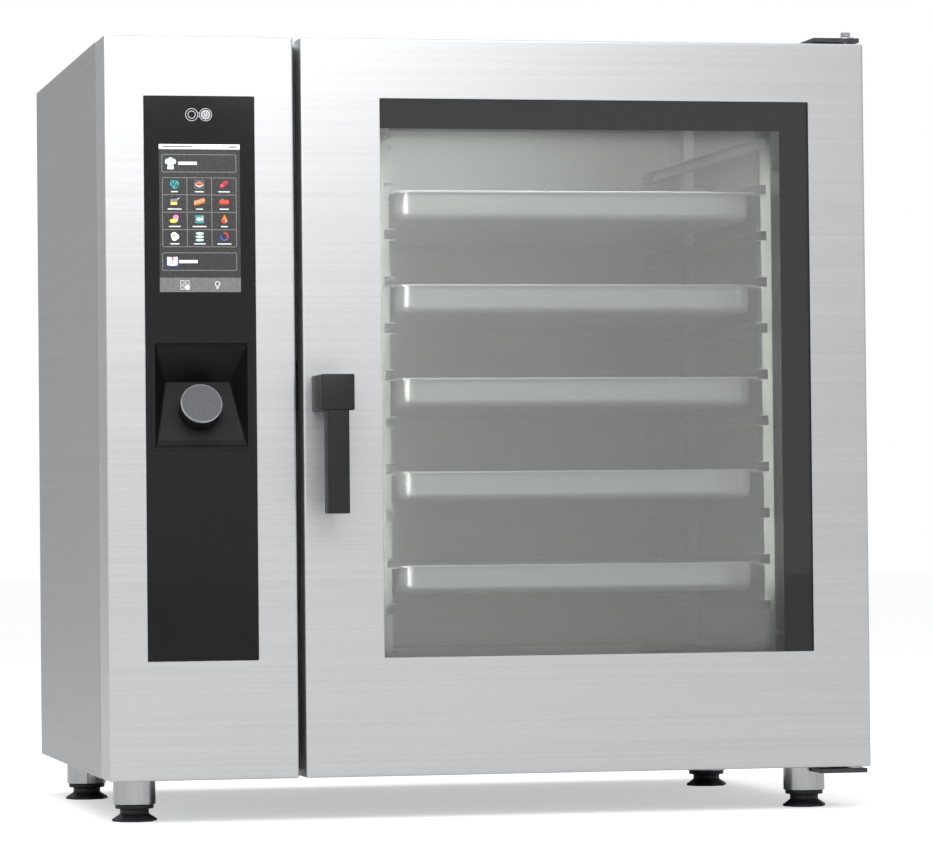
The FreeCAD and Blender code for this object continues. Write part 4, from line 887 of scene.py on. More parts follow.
PROGRAMMES = (
    # A teal leafy cloud with berries.
    ((Mark.TEAL, 3, Form.DISC, (-1.6, 1.2, 4.6), (2.0, 0.6, 4.4), (0.4, -1.8, 4.4), (-3.4, 4.0, 2.0)),
     (Mark.SILVER, 4, Form.DISC, (-1.5, 3.0, 0.7), (1.5, 0.5, 0.7), (-0.8, -2.4, 0.7), (3.4, 2.6, 0.7))),
    # A steak on a grill plate.
    ((Mark.LINE, 3, Form.FRAME, (-6.6, 6.6, -5.6, 5.8)), (Mark.CYAN, 3, Form.DISC, (0.0, 0.0, 5.2, 3.6)),
     (Mark.RED, 4, Form.DISC, (0.0, 0.6, 4.6, 2.6)), (Mark.ORANGE, 5, Form.DISC, (0.0, 1.2, 3.0, 0.8))),
    # A tied roast, seen on the slant.
    ((Mark.BRICK, 3, Form.SHAPE,
      ((-6.2, -4.0), (-1.0, -4.4), (6.0, 2.8), (4.6, 5.4), (0.8, 5.0), (-5.6, -0.6))),
     (Mark.RED, 4, Form.DISC, (-2.6, -1.4, 2.6, 2.0)), (Mark.PINK, 5, Form.DISC, (-2.6, -1.4, 1.0))),
    # A saucepan with yellow broth.
    ((Mark.LINE, 3, Form.BAR, (-5.8, 3.8, -4.4, 3.8)), (Mark.YELLOW, 4, Form.BAR, (-5.0, 3.0, -4.0, -0.6)),
     (Mark.SILVER, 4, Form.SHAPE, ((3.6, 2.6), (7.0, 4.6), (6.6, 5.4), (3.4, 3.8)))),
    # Five orange slices with pale bones.
    ((Mark.ORANGE, 3, Form.DISC, *((2.7 * i, 0.8 * i, 2.1, 3.4) for i in range(-2, 3))),
     (Mark.SILVER, 4, Form.DISC, *((2.7 * i, 0.8 * i + 0.5, 0.7, 2.0) for i in range(-2, 3)))),
    # A red dish with a green leaf.
    ((Mark.RED, 3, Form.BAR, (-6.2, 6.2, -3.2, 2.6)), (Mark.ORANGE, 4, Form.BAR, (-5.6, 5.6, -0.4, 0.6)),
     (Mark.TEAL, 4, Form.DISC, (-2.0, 3.2, 1.6, 0.8))),
    # A loaf and a pink cupcake.
    ((Mark.YELLOW, 3, Form.DISC, (-1.6, -2.4, 5.2, 2.7)), (Mark.PINK, 4, Form.DISC, (1.4, 2.8, 3.8, 2.9)),
     (Mark.CYAN, 3, Form.SHAPE, ((-1.6, 1.0), (4.4, 1.0), (3.4, -3.4), (-0.6, -3.4)))),
    # A white fish on a teal tile.
    ((Mark.TEAL, 3, Form.BAR, (-5.8, 5.8, -5.2, 5.2)), (Mark.WHITE, 4, Form.DISC, (-0.8, 0.0, 3.2, 1.9)),
     (Mark.WHITE, 4, Form.SHAPE, ((1.6, 0.0), (4.4, 2.0), (4.4, -2.0))),
     (Mark.ORANGE, 4, Form.DISC, (3.4, 3.2, 1.0))),
    # A flame in orange and red with a grey side.
    ((Mark.ORANGE, 3, Form.SHAPE, ((0.0, 6.6), (3.4, 0.4), (3.4, -3.0), (0.6, -5.4), (-2.6, -4.6),
                                   (-3.8, -1.4), (-1.4, 2.2))),
     (Mark.RED, 4, Form.DISC, (-0.8, -2.6, 2.3)),
     (Mark.SILVER, 5, Form.SHAPE, ((1.6, 0.6), (4.2, -4.4), (1.8, -2.6)))),
    # A fried egg.
    ((Mark.WHITE, 3, Form.DISC, (-1.2, 1.6, 4.2), (1.6, -0.2, 4.0), (-0.6, -2.2, 3.6)),
     (Mark.ORANGE, 4, Form.DISC, (-1.0, 1.0, 1.5))),
    # Three stacked plates.
    ((Mark.CYAN, 3, Form.DISC, (0.0, -4.6, 5.6, 1.7), (0.0, -0.2, 5.6, 1.7), (0.0, 4.2, 5.6, 1.7)),),
    # An open ring that turns from red to blue.
    ((Mark.RED, 3, Form.ARC, (5.6, 3.9, -20.0, 100.0)), (Mark.VIOLET, 3, Form.ARC, (5.6, 3.9, 250.0, 340.0)),
     (Mark.BLUE, 3, Form.ARC, (5.6, 3.9, 160.0, 250.0))))


@dataclass
class ControlPanel:
    """Flush glass with the lit display, the power mark, the finger recess and the knob."""

    mark_proud: float = 0.12 * MM
    line: float = 0.8 * MM

    def __post_init__(self) -> None:
        """Read the display's place from the frame."""
        low, high = box_of("control_glass")
        self.face = low[1]
        self.mid_x = (low[0] + high[0]) / 2
        self.top = box_of("top_cover")[1][2]
        self.skins: dict[Mark, Skin] = {}

    def plate(self, mark: Mark, outline: np.ndarray, layer: int = 1) -> None:
        """Lay a flat coloured shape on the glass.

        Args:
            mark: Its colour.
            outline: Its x and z points.
            layer: How many mark thicknesses it stands out.
        """
        skin = self.skins.setdefault(mark, Skin())
        skin.prism(outline, self.face - layer * self.mark_proud, self.face - 0.01 * MM)

    def ring(self, mark: Mark, outer: np.ndarray, inner: np.ndarray, layer: int = 2) -> None:
        """Lay a flat coloured band between two outlines on the glass."""
        skin = self.skins.setdefault(mark, Skin())
        skin.band(outer, inner, self.face - layer * self.mark_proud, self.face - 0.01 * MM)

    def bar(self, mark: Mark, x0: float, x1: float, z0: float, z1: float, layer: int = 2,
            radius: float = 0.3 * MM) -> None:
        """Lay a rounded bar on the glass."""
        self.plate(mark, rect_loop(x0, x1, z0, z1, radius, 3), layer)

    def outline_box(self, x0: float, x1: float, z0: float, z1: float) -> None:
        """Draw the grey outline of a button."""
        w = self.line
        self.ring(Mark.LINE, rect_loop(x0, x1, z0, z1, 2 * MM),
                  rect_loop(x0 + w, x1 - w, z0 + w, z1 - w, 1.2 * MM))

    def at(self, x_mm: float, drop_mm: float) -> tuple[float, float]:
        """A place given from the column's left side and from the body's top."""
        return self.mid_x + (x_mm - 127.5) * MM, self.top - drop_mm * MM

    def screen(self) -> None:
        """Status bar, two wide buttons, a grid of twelve programmes and the bottom bar."""
        x0, z1 = self.at(73.0, 145.0)
        x1, z0 = self.at(182.0, 342.5)
        self.bar(Mark.PAGE, x0, x1, z0, z1, 1)
        self.bar(Mark.WHITE, x0, x1, *sorted((self.at(0, 145.0)[1], self.at(0, 151.5)[1])))
        for start, end in ((78.0, 118.0), (167.0, 177.0)):
            a, b = self.at(start, 147.4), self.at(end, 149.4)
            self.bar(Mark.GREY, a[0], b[0], b[1], a[1], 3)
        for drop0, drop1 in ((158.4, 182.5), (289.7, 313.9)):
            a, b = self.at(76.5, drop0), self.at(177.0, drop1)
            self.outline_box(a[0], b[0], b[1], a[1])
            word = self.at(99.0, (drop0 + drop1) / 2 - 2.0), self.at(124.0, (drop0 + drop1) / 2 + 2.0)
            self.bar(Mark.WHITE, word[0][0], word[1][0], word[1][1], word[0][1])
        self.picture(CHEF_HAT, *self.at(88.5, 170.4))
        self.picture(OPEN_BOOK, *self.at(90.0, 301.8))
        self.grid()
        a, b = self.at(73.0, 323.3), self.at(182.0, 342.5)
        self.bar(Mark.GREY, a[0], b[0], b[1], a[1])
        self.squares(*self.at(106.5, 332.9))
        self.lamp(*self.at(150.5, 332.9))

    def grid(self, columns: int = 3, rows: int = 4) -> None:
        """The programme grid: its lines, one small picture and one caption bar in each cell.

        Args:
            columns: Cells across.
            rows: Cells down.
        """
        a, b = self.at(77.0, 189.4), self.at(177.0, 282.4)
        self.outline_box(a[0], b[0], b[1], a[1])
        width, height = (b[0] - a[0]) / columns, (a[1] - b[1]) / rows
        half = self.line / 2
        for i in range(1, columns):
            self.bar(Mark.LINE, a[0] + i * width - half, a[0] + i * width + half, b[1], a[1])
        for i in range(1, rows):
            self.bar(Mark.LINE, a[0], b[0], b[1] + i * height - half, b[1] + i * height + half)
        for index, picture in enumerate(PROGRAMMES):
            row, column = divmod(index, columns)
            x = a[0] + (column + 0.5) * width
            z = a[1] - (row + 0.5) * height
            self.picture(picture, x, z + 2.4 * MM)
            caption = (4.6 + 1.6 * ((index * 5) % 4)) * MM
            self.bar(Mark.SILVER, x - caption, x + caption, z - 8.2 * MM, z - 6.6 * MM)

    def picture(self, parts: tuple, x: float, z: float) -> None:
        """Lay a small picture on the glass, part by part.

        Args:
            parts: Its parts.
            x: Its middle.
            z: Its middle.
        """
        for mark, layer, form, *pieces in parts:
            for piece in pieces:
                if form is Form.SHAPE:
                    self.plate(mark, np.array(piece) * MM + (x, z), layer)
                    continue
                a, b, *rest = (number * MM for number in piece)
                if form is Form.DISC:
                    self.plate(mark, disc_loop(x + a, z + b, *rest), layer)
                elif form is Form.ARC:
                    span = {"start_deg": piece[2], "end_deg": piece[3], "count": 14}
                    outer, inner = disc_loop(x, z, a, **span), disc_loop(x, z, b, **span)
                    self.plate(mark, np.concatenate([outer, inner[::-1]]), layer)
                elif form is Form.BAR:
                    self.bar(mark, x + a, x + b, z + rest[0], z + rest[1], layer)
                else:
                    w = 0.7 * MM
                    self.ring(mark, rect_loop(x + a, x + b, z + rest[0], z + rest[1], 0.8 * MM),
                              rect_loop(x + a + w, x + b - w, z + rest[0] + w, z + rest[1] - w,
                                        0.6 * MM), layer)

    def squares(self, x: float, z: float) -> None:
        """Four small squares, the last one filled."""
        for dx in (-3.4, 3.4):
            for dz in (-3.4, 3.4):
                cx, cz, r = x + dx * MM, z + dz * MM, 2.7 * MM
                if dx > 0 > dz:
                    self.bar(Mark.WHITE, cx - r, cx + r, cz - r, cz + r, 3, 0.6 * MM)
                    continue
                i = r - 0.7 * MM
                self.ring(Mark.SILVER, rect_loop(cx - r, cx + r, cz - r, cz + r, 0.8 * MM),
                          rect_loop(cx - i, cx + i, cz - i, cz + i, 0.4 * MM), 3)

    def lamp(self, x: float, z: float) -> None:
        """A bulb drawn in outline with its socket."""
        self.ring(Mark.SILVER, disc_loop(x, z + 1.2 * MM, 3.6 * MM),
                  disc_loop(x, z + 1.2 * MM, 2.6 * MM), 3)
        self.bar(Mark.SILVER, x - 1.2 * MM, x + 1.2 * MM, z - 5.4 * MM, z - 2.0 * MM, 3)

    def power_mark(self) -> None:
        """Two joined rings: a ring in a ring, and a filled disc with the on and off sign."""
        (left, z), (right, _) = self.at(117.6, 105.3), self.at(136.3, 105.3)
        for x in (left, right):
            self.ring(Mark.PRINT, disc_loop(x, z, 8.7 * MM, count=40),
                      disc_loop(x, z, 7.8 * MM, count=40), 1)
        self.ring(Mark.PRINT, disc_loop(left, z, 5.4 * MM), disc_loop(left, z, 4.4 * MM), 1)
        self.plate(Mark.PRINT, disc_loop(right, z, 6.4 * MM, count=40), 1)
        outer = disc_loop(right, z, 4.0 * MM, start_deg=125.0, end_deg=415.0, count=24)
        inner = disc_loop(right, z, 3.1 * MM, start_deg=125.0, end_deg=415.0, count=24)
        self.plate(Mark.PAGE, np.concatenate([outer, inner[::-1]]), 2)
        self.bar(Mark.PAGE, right - 0.45 * MM, right + 0.45 * MM, z + 0.6 * MM, z + 5.0 * MM)
        for side in (-1, 1):
            mid = (left + right) / 2
            self.bar(Mark.PRINT, mid - 1.0 * MM, mid + 1.0 * MM, z + side * 2.6 * MM - 0.5 * MM,
                     z + side * 2.6 * MM + 0.5 * MM, 1)

    def recess(self, draft: float = 18 * MM, soften: float = 1.6 * MM) -> None:
        """The moulded finger recess.

        Its depth at a point is the smooth minimum of two depths: the side profile's, which falls
        from the upper edge to the deepest line and rises again to the lip, and the drafted side
        walls'.  A raised rim runs round it.

        Args:
            draft: How far each side wall leans in over the full depth.
            soften: Rounding of the creases.
        """
        low, high = box_of("knob_scoop")
        rim = 5.5 * MM
        x0, x1, z0, z1 = low[0] + rim, high[0] - rim, low[2] + rim, high[2] - rim
        face, deep = self.face, 39.0 * MM
        half, mid = (x1 - x0) / 2, (x0 + x1) / 2
        fine = np.linspace(0.0, 1.0, 22)
        across = np.concatenate([-half + draft * 1.15 * fine,
                                 np.linspace(-half + draft * 1.2, half - draft * 1.2, 20),
                                 (half - draft * 1.15 * fine)[::-1]])
        up = np.concatenate([np.linspace(0.0, 16.0, 18), np.linspace(19.0, 78.0, 20),
                             np.linspace(80.0, 96.0, 12), np.linspace(99.0, 138.0, 22)]) * MM
        side_profile = np.interp(up, np.array([0.0, 9.0, 87.0, 138.0]) * MM,
                                 np.array([0.0, 6.0, 39.0, 0.0]) * MM)
        wall_depth = (half - np.abs(across)) * deep / draft
        first, second = side_profile[:, None], wall_depth[None, :]
        depth = -soften * np.logaddexp(-first / soften, -second / soften) + soften * math.log(2)
        border = np.minimum(np.minimum(up[:, None], up[-1] - up[:, None]),
                            half - np.abs(across)[None, :])
        depth = np.clip(depth, 0.0, None) * np.clip(border / (1.5 * MM), 0.0, 1.0)
        inside = np.stack(np.broadcast_arrays(mid + across[None, :], face - 1.0 * MM + depth,
                                              z0 + up[:, None]), -1)
        behind = inside + (0.0, 2.4 * MM, 0.0)
        skin = Skin().grid(inside, wrap_columns=False)
        skin.grid(behind, wrap_columns=False)
        edges = [np.s_[0, :], np.s_[-1, :], np.s_[:, 0], np.s_[:, -1]]
        for edge in edges:
            skin.grid(np.stack([inside[edge], behind[edge]]), wrap_columns=False)
        section = [(0.0, 0.0), (0.0, -0.6 * MM), (0.4 * MM, -1.0 * MM), (rim - 0.4 * MM, -1.0 * MM),
                   (rim, -0.6 * MM), (rim, 0.0)]
        loops = []
        for grow, lift in section:
            flat = rect_loop(x0 - grow, x1 + grow, z0 - grow, z1 + grow, 0.4 * MM + grow * 0.7)
            loops.append(at_depth(flat, face + lift))
        skin.grid(np.stack(loops), wrap_rows=True)
        skin.make("finger_recess", [BLACK_PLASTIC], "cabinet", "black_plastic", 40.0, ("knob_scoop",))

    def knob(self, radius: float = 28 * MM, height: float = 25 * MM, gap: float = 2 * MM) -> None:
        """Turned knob: a plain black side, a rim painted lighter as a highlight, and a grained face.

        Args:
            radius: Outer radius.
            height: Length of the cap.
            gap: Distance from the recess.
        """
        joint = joint_named("knob_turn")
        axis = np.array(joint["axis"], float)
        axis = axis / np.linalg.norm(axis)
        axis = axis if axis[1] < 0 else -axis
        foot = self.knob_foot(axis, radius, gap + height)
        side = [(0.0, gap), (radius - 1.2 * MM, gap), (radius - 0.3 * MM, gap + 0.6 * MM),
                (radius - 0.1 * MM, gap + 1.5 * MM), (radius, gap + height - 3.0 * MM)]
        skin = Skin().grid(turned(side, foot, axis, 96), kind=0)
        top = gap + height
        bend = 1.5 * MM
        rim = [(radius - bend * inward, top - bend * down) for down, inward in quarter_round(6)]
        # The rounded rim takes the lighter grey: a painted highlight.
        skin.grid(turned([side[-1]] + rim, foot, axis, 96), kind=1)
        face = [(radius - bend, top), (radius - 2.0 * MM, top - 0.15 * MM),
                (radius - 2.6 * MM, top - 0.2 * MM),
                (radius * 0.5, top - 0.25 * MM), (0.0, top - 0.25 * MM)]
        skin.grid(turned(face, foot, axis, 96), kind=2)
        shaft, tail = 3.4 * MM, -13.9 * MM
        stem = [(0.0, tail), (shaft, tail), (shaft, gap + 0.2 * MM), (0.0, gap + 0.2 * MM)]
        skin.grid(turned(stem, foot, axis, 24), kind=0)
        skin.make("knob_cap", [HANDLE_PLASTIC, KNOB_RIM_HIGHLIGHT, KNOB_GREY], "knob", "grey_knob", 40.0,
                  ("control_knob",))

    def knob_foot(self, axis: np.ndarray, radius: float, reach: float, proud: float = 0.4 * MM
                  ) -> np.ndarray:
        """The point on the knob's axis at the recess's lower face.

        The middle of the CAD knob's front disc is its box's front and top side, each drawn in by
        the disc's own extent; the point lies behind it along the axis.

        Args:
            axis: The knob's axis.
            radius: Its radius.
            reach: Distance from the foot to the cap's face.
            proud: How far the cap's face stands past that disc.

        Returns:
            The point.
        """
        low, high = box_of("control_knob")
        rise = radius * math.sqrt(1 - axis[1] ** 2)
        front_y = low[1] + rise
        top_z = high[2] - radius * math.sqrt(1 - axis[2] ** 2)
        centre = np.array([(low[0] + high[0]) / 2, front_y, top_z])
        return centre - axis * (reach - proud)

    def build(self) -> None:
        """Make the display marks, the printed mark, the recess and the knob."""
        self.screen()
        self.power_mark()
        for mark, skin in self.skins.items():
            skin.make("display_" + mark.name.lower(), [ink(mark.name.lower(), mark.value)],
                      "cabinet", "black_glass")
        self.recess()
        self.knob()

    def dress(self) -> None:
        """Finish the CAD pieces behind the glass."""
        dress("control_glass", BLACK_GLASS)
        dress("control_carrier", BLACK_PLASTIC)
        dress("display_module", BLACK_PLASTIC)
        dress("encoder_body", BLACK_PLASTIC)
        dress("encoder_rotor", PLATED)
        dress("control_board", BOARD)


# ---- Door -----------------------------------------------------------------------------------
@dataclass
class Door:
    """Skin with its window, panes with the printed border, handle and hinge hardware."""

    wall: float = 1.5 * MM
    fold: float = 2.4 * MM
    border_top: float = 40 * MM
    border_side: float = 40 * MM
    lap: float = 12 * MM
    film: float = 0.11

    def build(self) -> None:
        """Make the skin, border, handle and hinge pieces."""
        low, high = box_of("door_outer_skin")
        pane_low, pane_high = box_of("door_glass_outer")
        lap = self.lap
        window = (pane_low[0] + lap, pane_high[0] - lap, pane_low[2] + lap, pane_high[2] - lap)
        shell = folded_shell((low[0], high[0], low[2], high[2]), window, low[1], high[1],
                             self.wall, self.fold)
        Skin().grid(shell, wrap_rows=True).make("door_skin", [STEEL_FRONT], "door", "brushed_stainless",
                                                replaced=("door_outer_skin",))
        self.border(window, pane_high[1])
        self.handle()
        self.hinge()

    def border(self, window: tuple[float, float, float, float], behind: float) -> None:
        """Black print behind the pane, along its upper and right-hand edge.

        Args:
            window: The skin's window: left, right, lower and upper side.
            behind: The y of the pane's rear face.
        """
        x0, x1, z0, z1 = window
        out = 5 * MM
        outline = np.array([[x0 - out, z1 + out], [x0 - out, z1 - self.border_top],
                            [x1 - self.border_side, z1 - self.border_top],
                            [x1 - self.border_side, z0 - out], [x1 + out, z0 - out], [x1 + out, z1 + out]])
        Skin().prism(outline, behind + 0.02 * MM, behind + 0.3 * MM).make(
            "pane_print", [PRINT], "door", "black_glass")

    def handle(self, web: float = 12 * MM, soft: float = 2.0 * MM) -> None:
        """Lever: a deep block, a sloping web and the bar that hangs from its front end.

        Rounded rectangles are stacked downwards; their size steps from the block to the bar, and
        the rear side slopes along the web.

        Args:
            web: Length of the web.
            soft: Rounding of the edges.
        """
        low, high = box_of("handle_grip")
        bush_low, bush_high = box_of("handle_bush")
        mid_x = (bush_low[0] + bush_high[0]) / 2
        block_bottom = low[2] + 137 * MM
        wide, slim = (high[0] - low[0]) / 2, 14.5 * MM
        front, back, bar_back = low[1], high[1], low[1] + 32 * MM
        levels = []

        def level(half: float, rear: float, inset: float, z: float) -> None:
            """Add a rounded rectangle by its half width, rear side, inset and height."""
            levels.append((mid_x - half + inset, mid_x + half - inset, front + inset, rear - inset,
                           max(soft - inset * 0.6, 0.3 * MM), z))

        corner = quarter_round(ROUND_STEPS)
        level(wide, back, wide * 0.96, high[2])
        for side, end in corner:
            level(wide, back, soft * side, high[2] - soft * end)
        for side, end in reversed(corner):
            level(wide, back, soft * side, block_bottom + soft * end)
        level(slim, bar_back + web, 0.0, block_bottom)
        level(slim, bar_back + 0.3 * MM, 0.0, block_bottom - web)
        level(slim, bar_back, 0.0, block_bottom - web - 1 * MM)
        for side, end in reversed(corner):
            level(slim, bar_back, soft * side, low[2] + soft * end)
        level(slim, bar_back, slim * 0.96, low[2])
        Skin().grid(cap_ends(rect_stack(levels))).make("handle_lever", [HANDLE_PLASTIC], "handle",
                                                       "black_plastic", 35.0, ("handle_grip",))

    def hinge(self) -> None:
        """Bolt with a hexagon head on a domed washer above, thrust washer and pin below."""
        low, high = box_of("hinge_pins")
        washer = (high[0] - low[0]) / 2
        cx, cy = (low[0] + high[0]) / 2, (low[1] + high[1]) / 2
        bracket_low, bracket_high = box_of("hinge_brackets")
        plate, under = bracket_high[2], bracket_low[2]
        up = np.array([0.0, 0.0, 1.0])
        skin = Skin()
        dome = [(0.0, plate), (washer, plate), (washer, plate + 0.7 * MM)]
        for angle in np.linspace(0.1, 1.25, 6):
            dome.append((washer * math.cos(angle), plate + 0.7 * MM + 2.8 * MM * math.sin(angle)))
        skin.grid(turned(dome + [(0.0, plate + 3.4 * MM)], (cx, cy, 0.0), up))
        head = 6.0 * MM
        bottom = plate + 3.4 * MM
        shape = [(0.0, bottom, 0.0), (head, bottom, 1.0), (head, high[2] - 0.8 * MM, 1.0),
                 (head * 0.86, high[2], 0.0), (0.0, high[2], 0.0)]
        skin.grid(faceted(shape, (cx, cy), 6))
        door_low, door_high = box_of("door_outer_skin")
        reach = 22 * MM
        pin = 5.0 * MM
        for z0, z1 in ((door_high[2] - reach, plate), (under, door_low[2] + reach)):
            rod = [(0.0, z0), (pin - 0.5 * MM, z0), (pin, z0 + 0.5 * MM), (pin, z1 - 0.5 * MM),
                   (pin - 0.5 * MM, z1), (0.0, z1)]
            skin.grid(turned(rod, (cx, cy, 0.0), up, 40))
        thrust0, thrust1 = under + 6.05 * MM, door_low[2] - 0.35 * MM
        edge = 0.5 * MM
        ring = [(pin, thrust0), (washer - edge, thrust0), (washer, thrust0 + edge), (washer, thrust1 - edge),
                (washer - edge, thrust1), (pin, thrust1), (pin, thrust0)]
        skin.grid(turned(ring, (cx, cy, 0.0), up))
        skin.make("hinge_bolts", [PLATED], "cabinet", "machined_steel", replaced=("hinge_pins",))

    def dress(self) -> None:
        """Finish the CAD pieces of the door."""
        dress("door_glass_outer", ClearPane())
        # The hot inner pane carries a baked-on film of grease and limescale, so it looks milky.
        dress("door_glass_inner", ClearPane("filmed_inner_pane", "#FAFBFA", self.film, (0.34, 0.42)))
        dress("door_inner_frame", STEEL_UPRIGHT)
        dress("door_led_strips", DIFFUSER)
        dress("hinge_blocks", PLATED)
        for node in ("hinge_bushes", "handle_bush"):
            dress(node, BRONZE)
        for node in ("handle_spindle", "latch_hook", "latch_keeper"):
            dress(node, PLATED)


def cap_ends(grid: np.ndarray) -> np.ndarray:
    """Close a stack of loops by drawing its first and last loop in to their middles.

    Args:
        grid: The loops.

    Returns:
        The loops with one closing loop before and one after.
    """
    first = np.broadcast_to(grid[0].mean(axis=0), grid[0].shape)
    last = np.broadcast_to(grid[-1].mean(axis=0), grid[-1].shape)
    return np.concatenate([first[None], grid, last[None]])


def faceted(levels: list[tuple[float, float, float]], centre: tuple[float, float], sides: int,
            steps: int = 72) -> np.ndarray:
    """A turned shape whose rows blend from round to many-sided.

    The radius at an angle is the flat's distance over the cosine of the angle to the flat's
    middle, mixed with a plain circle.

    Args:
        levels: Radius, height and share of the many-sided form.
        centre: The axis in x and y.
        sides: Number of flats.
        steps: Points round the turn.

    Returns:
        Rows by columns by three coordinates.
    """
    angle = np.linspace(0, 2 * math.pi, steps, endpoint=False)
    sector = 2 * math.pi / sides
    polygon = 1.0 / np.cos((angle % sector) - sector / 2)
    rows = []
    for radius, height, share in levels:
        r = radius * (1 - share + share * polygon)
        rows.append(np.column_stack([centre[0] + r * np.cos(angle), centre[1] + r * np.sin(angle),
                                     np.full(steps, height)]))
    return np.stack(rows)


# ---- Cavity, trays and hot side -------------------------------------------------------------
@dataclass
class Cavity:
    """Cavity walls, racks, pans and everything behind them."""

    rim: float = 12 * MM
    corner: float = 26 * MM
    foot_round: float = 12 * MM
    wall: float = 1.0 * MM
    lip: float = 3.0 * MM

    def tray(self, number: int) -> None:
        """One deep-drawn pan.

        Rounded rectangles follow the sheet's section: from the middle of the floor up the inner
        wall, over the rim, round its turned-down lip and back under to the floor's underside.

        Args:
            number: Which pan, counted from the top.
        """
        low, high = box_of(f"gn_tray_{number}")
        x0, x1, y0, y1, bottom, top = low[0], high[0], low[1], high[1], low[2], high[2]
        rim, t, r = self.rim, self.wall, self.foot_round
        section = [(200 * MM, bottom + t), (rim + t + r + 40 * MM, bottom + t)]
        for side, end in quarter_round(5):
            section.append((rim + t + (r - t) * side, bottom + t + (r - t) * end))
        edge = 1.4 * MM
        section += [(rim + t - edge * end, top - edge * side) for side, end in quarter_round(3)]
        section += [(edge * side, top - edge * end) for side, end in quarter_round(4)]
        section += [(0.0, top - self.lip), (t, top - self.lip), (t, top - t), (rim, top - t)]
        section += [(rim + r * side, bottom + r * end) for side, end in reversed(quarter_round(5))]
        section += [(rim + r + 40 * MM, bottom), (200 * MM, bottom)]
        levels = []
        for inset, z in section:
            radius = max(self.corner + rim - inset, 4 * MM)
            levels.append((x0 + inset, x1 - inset, y0 + inset, y1 - inset, radius, z))
        grid = cap_ends(rect_stack(levels))
        Skin().grid(grid).make(f"steam_pan_{number}", [TRAY_STEEL], f"tray_{number}", "cavity_stainless",
                               40.0, (f"gn_tray_{number}",))

    def build(self) -> None:
        """Make the six pans."""
        for number in range(1, 7):
            self.tray(number)

    def dress(self) -> None:
        """Finish the CAD pieces of the cavity and the hot side."""
        nodes = {"oven_cavity": CAVITY_STEEL, "fan_baffle": CAVITY_STEEL, "cavity_insulation": WOOL,
                 "door_gasket": RUBBER, "rack_uprights_left": CAVITY_STEEL,
                 "rack_uprights_right": CAVITY_STEEL, "rack_runners_left": CAVITY_STEEL,
                 "rack_runners_right": CAVITY_STEEL, "fan_wheel_upper": CAVITY_STEEL,
                 "fan_wheel_lower": CAVITY_STEEL, "fan_motors": CASTING, "heating_elements": HEATER,
                 "steam_generator": CAVITY_STEEL, "steam_pipe": TUBE_STEEL}
        for node, finish in nodes.items():
            dress(node, finish)


# ---- Feet -----------------------------------------------------------------------------------
@dataclass
class Feet:
    """Four polished tubes with screw-in feet."""

    tube: float = 28.5 * MM
    tube_wall: float = 3.5 * MM
    sides: int = 8

    def build(self) -> None:
        """Make the tubes as one piece and each foot as its own."""
        tube_low, tube_high = box_of("foot_sleeves")
        sleeves = Skin()
        for where in ("front_left", "front_right", "rear_left", "rear_right"):
            low, high = box_of(f"foot_insert_{where}")
            centre = ((low[0] + high[0]) / 2, (low[1] + high[1]) / 2)
            edge, t, r = 0.5 * MM, self.tube_wall, self.tube
            z0, z1 = tube_low[2], tube_high[2]
            profile = [(0.0, z1), (r, z1), (r, z0 + edge), (r - edge, z0), (r - t, z0), (r - t, z1 - 4 * MM),
                       (0.0, z1 - 4 * MM)]
            sleeves.grid(turned(profile, (*centre, 0.0), (0, 0, 1)))
            self.foot(where, centre, (high[0] - low[0]) / 2, z0, high[2])
        sleeves.make("foot_tubes", [TUBE_STEEL], "cabinet", "brushed_stainless", replaced=("foot_sleeves",))

    def foot(self, where: str, centre: tuple[float, float], base: float, tube_end: float, top: float
             ) -> None:
        """One foot: an eight-sided pad, a waist, a collar and its stem.

        Args:
            where: Which corner.
            centre: Its axis in x and y.
            base: Pad radius.
            tube_end: Height of the tube's lower end.
            top: Height of the stem's top.
        """
        collar_top = tube_end - 0.2 * MM
        collar_z = collar_top - 5.5 * MM
        neck_z = collar_z - 8.0 * MM
        collar, neck, stem = 26 * MM, 19.5 * MM, self.tube - self.tube_wall - 0.4 * MM
        flat = base * math.cos(math.pi / self.sides)
        levels = [(0.0, 0.0, 0.0), (flat * 0.93, 0.0, 1.0), (flat * 0.985, 0.8 * MM, 1.0),
                  (flat * 0.985, 3.0 * MM, 1.0), (flat * 0.97, 3.6 * MM, 1.0), (neck + 1.0 * MM, neck_z, 0.3),
                  (neck, neck_z + 1.2 * MM, 0.0), (neck, collar_z - 1.2 * MM, 0.0),
                  (neck + 1.0 * MM, collar_z - 0.3 * MM, 0.0), (collar - 0.8 * MM, collar_z, 0.0),
                  (collar, collar_z + 0.8 * MM, 0.0), (collar, collar_top - 0.8 * MM, 0.0),
                  (collar - 0.8 * MM, collar_top, 0.0), (stem, collar_top, 0.0), (stem, top, 0.0),
                  (0.0, top, 0.0)]
        Skin().grid(faceted(levels, centre, self.sides)).make(
            f"levelling_foot_{where}", [POWDER], f"foot_{where}", "black_powder_coat", 25.0,
            (f"foot_insert_{where}",))


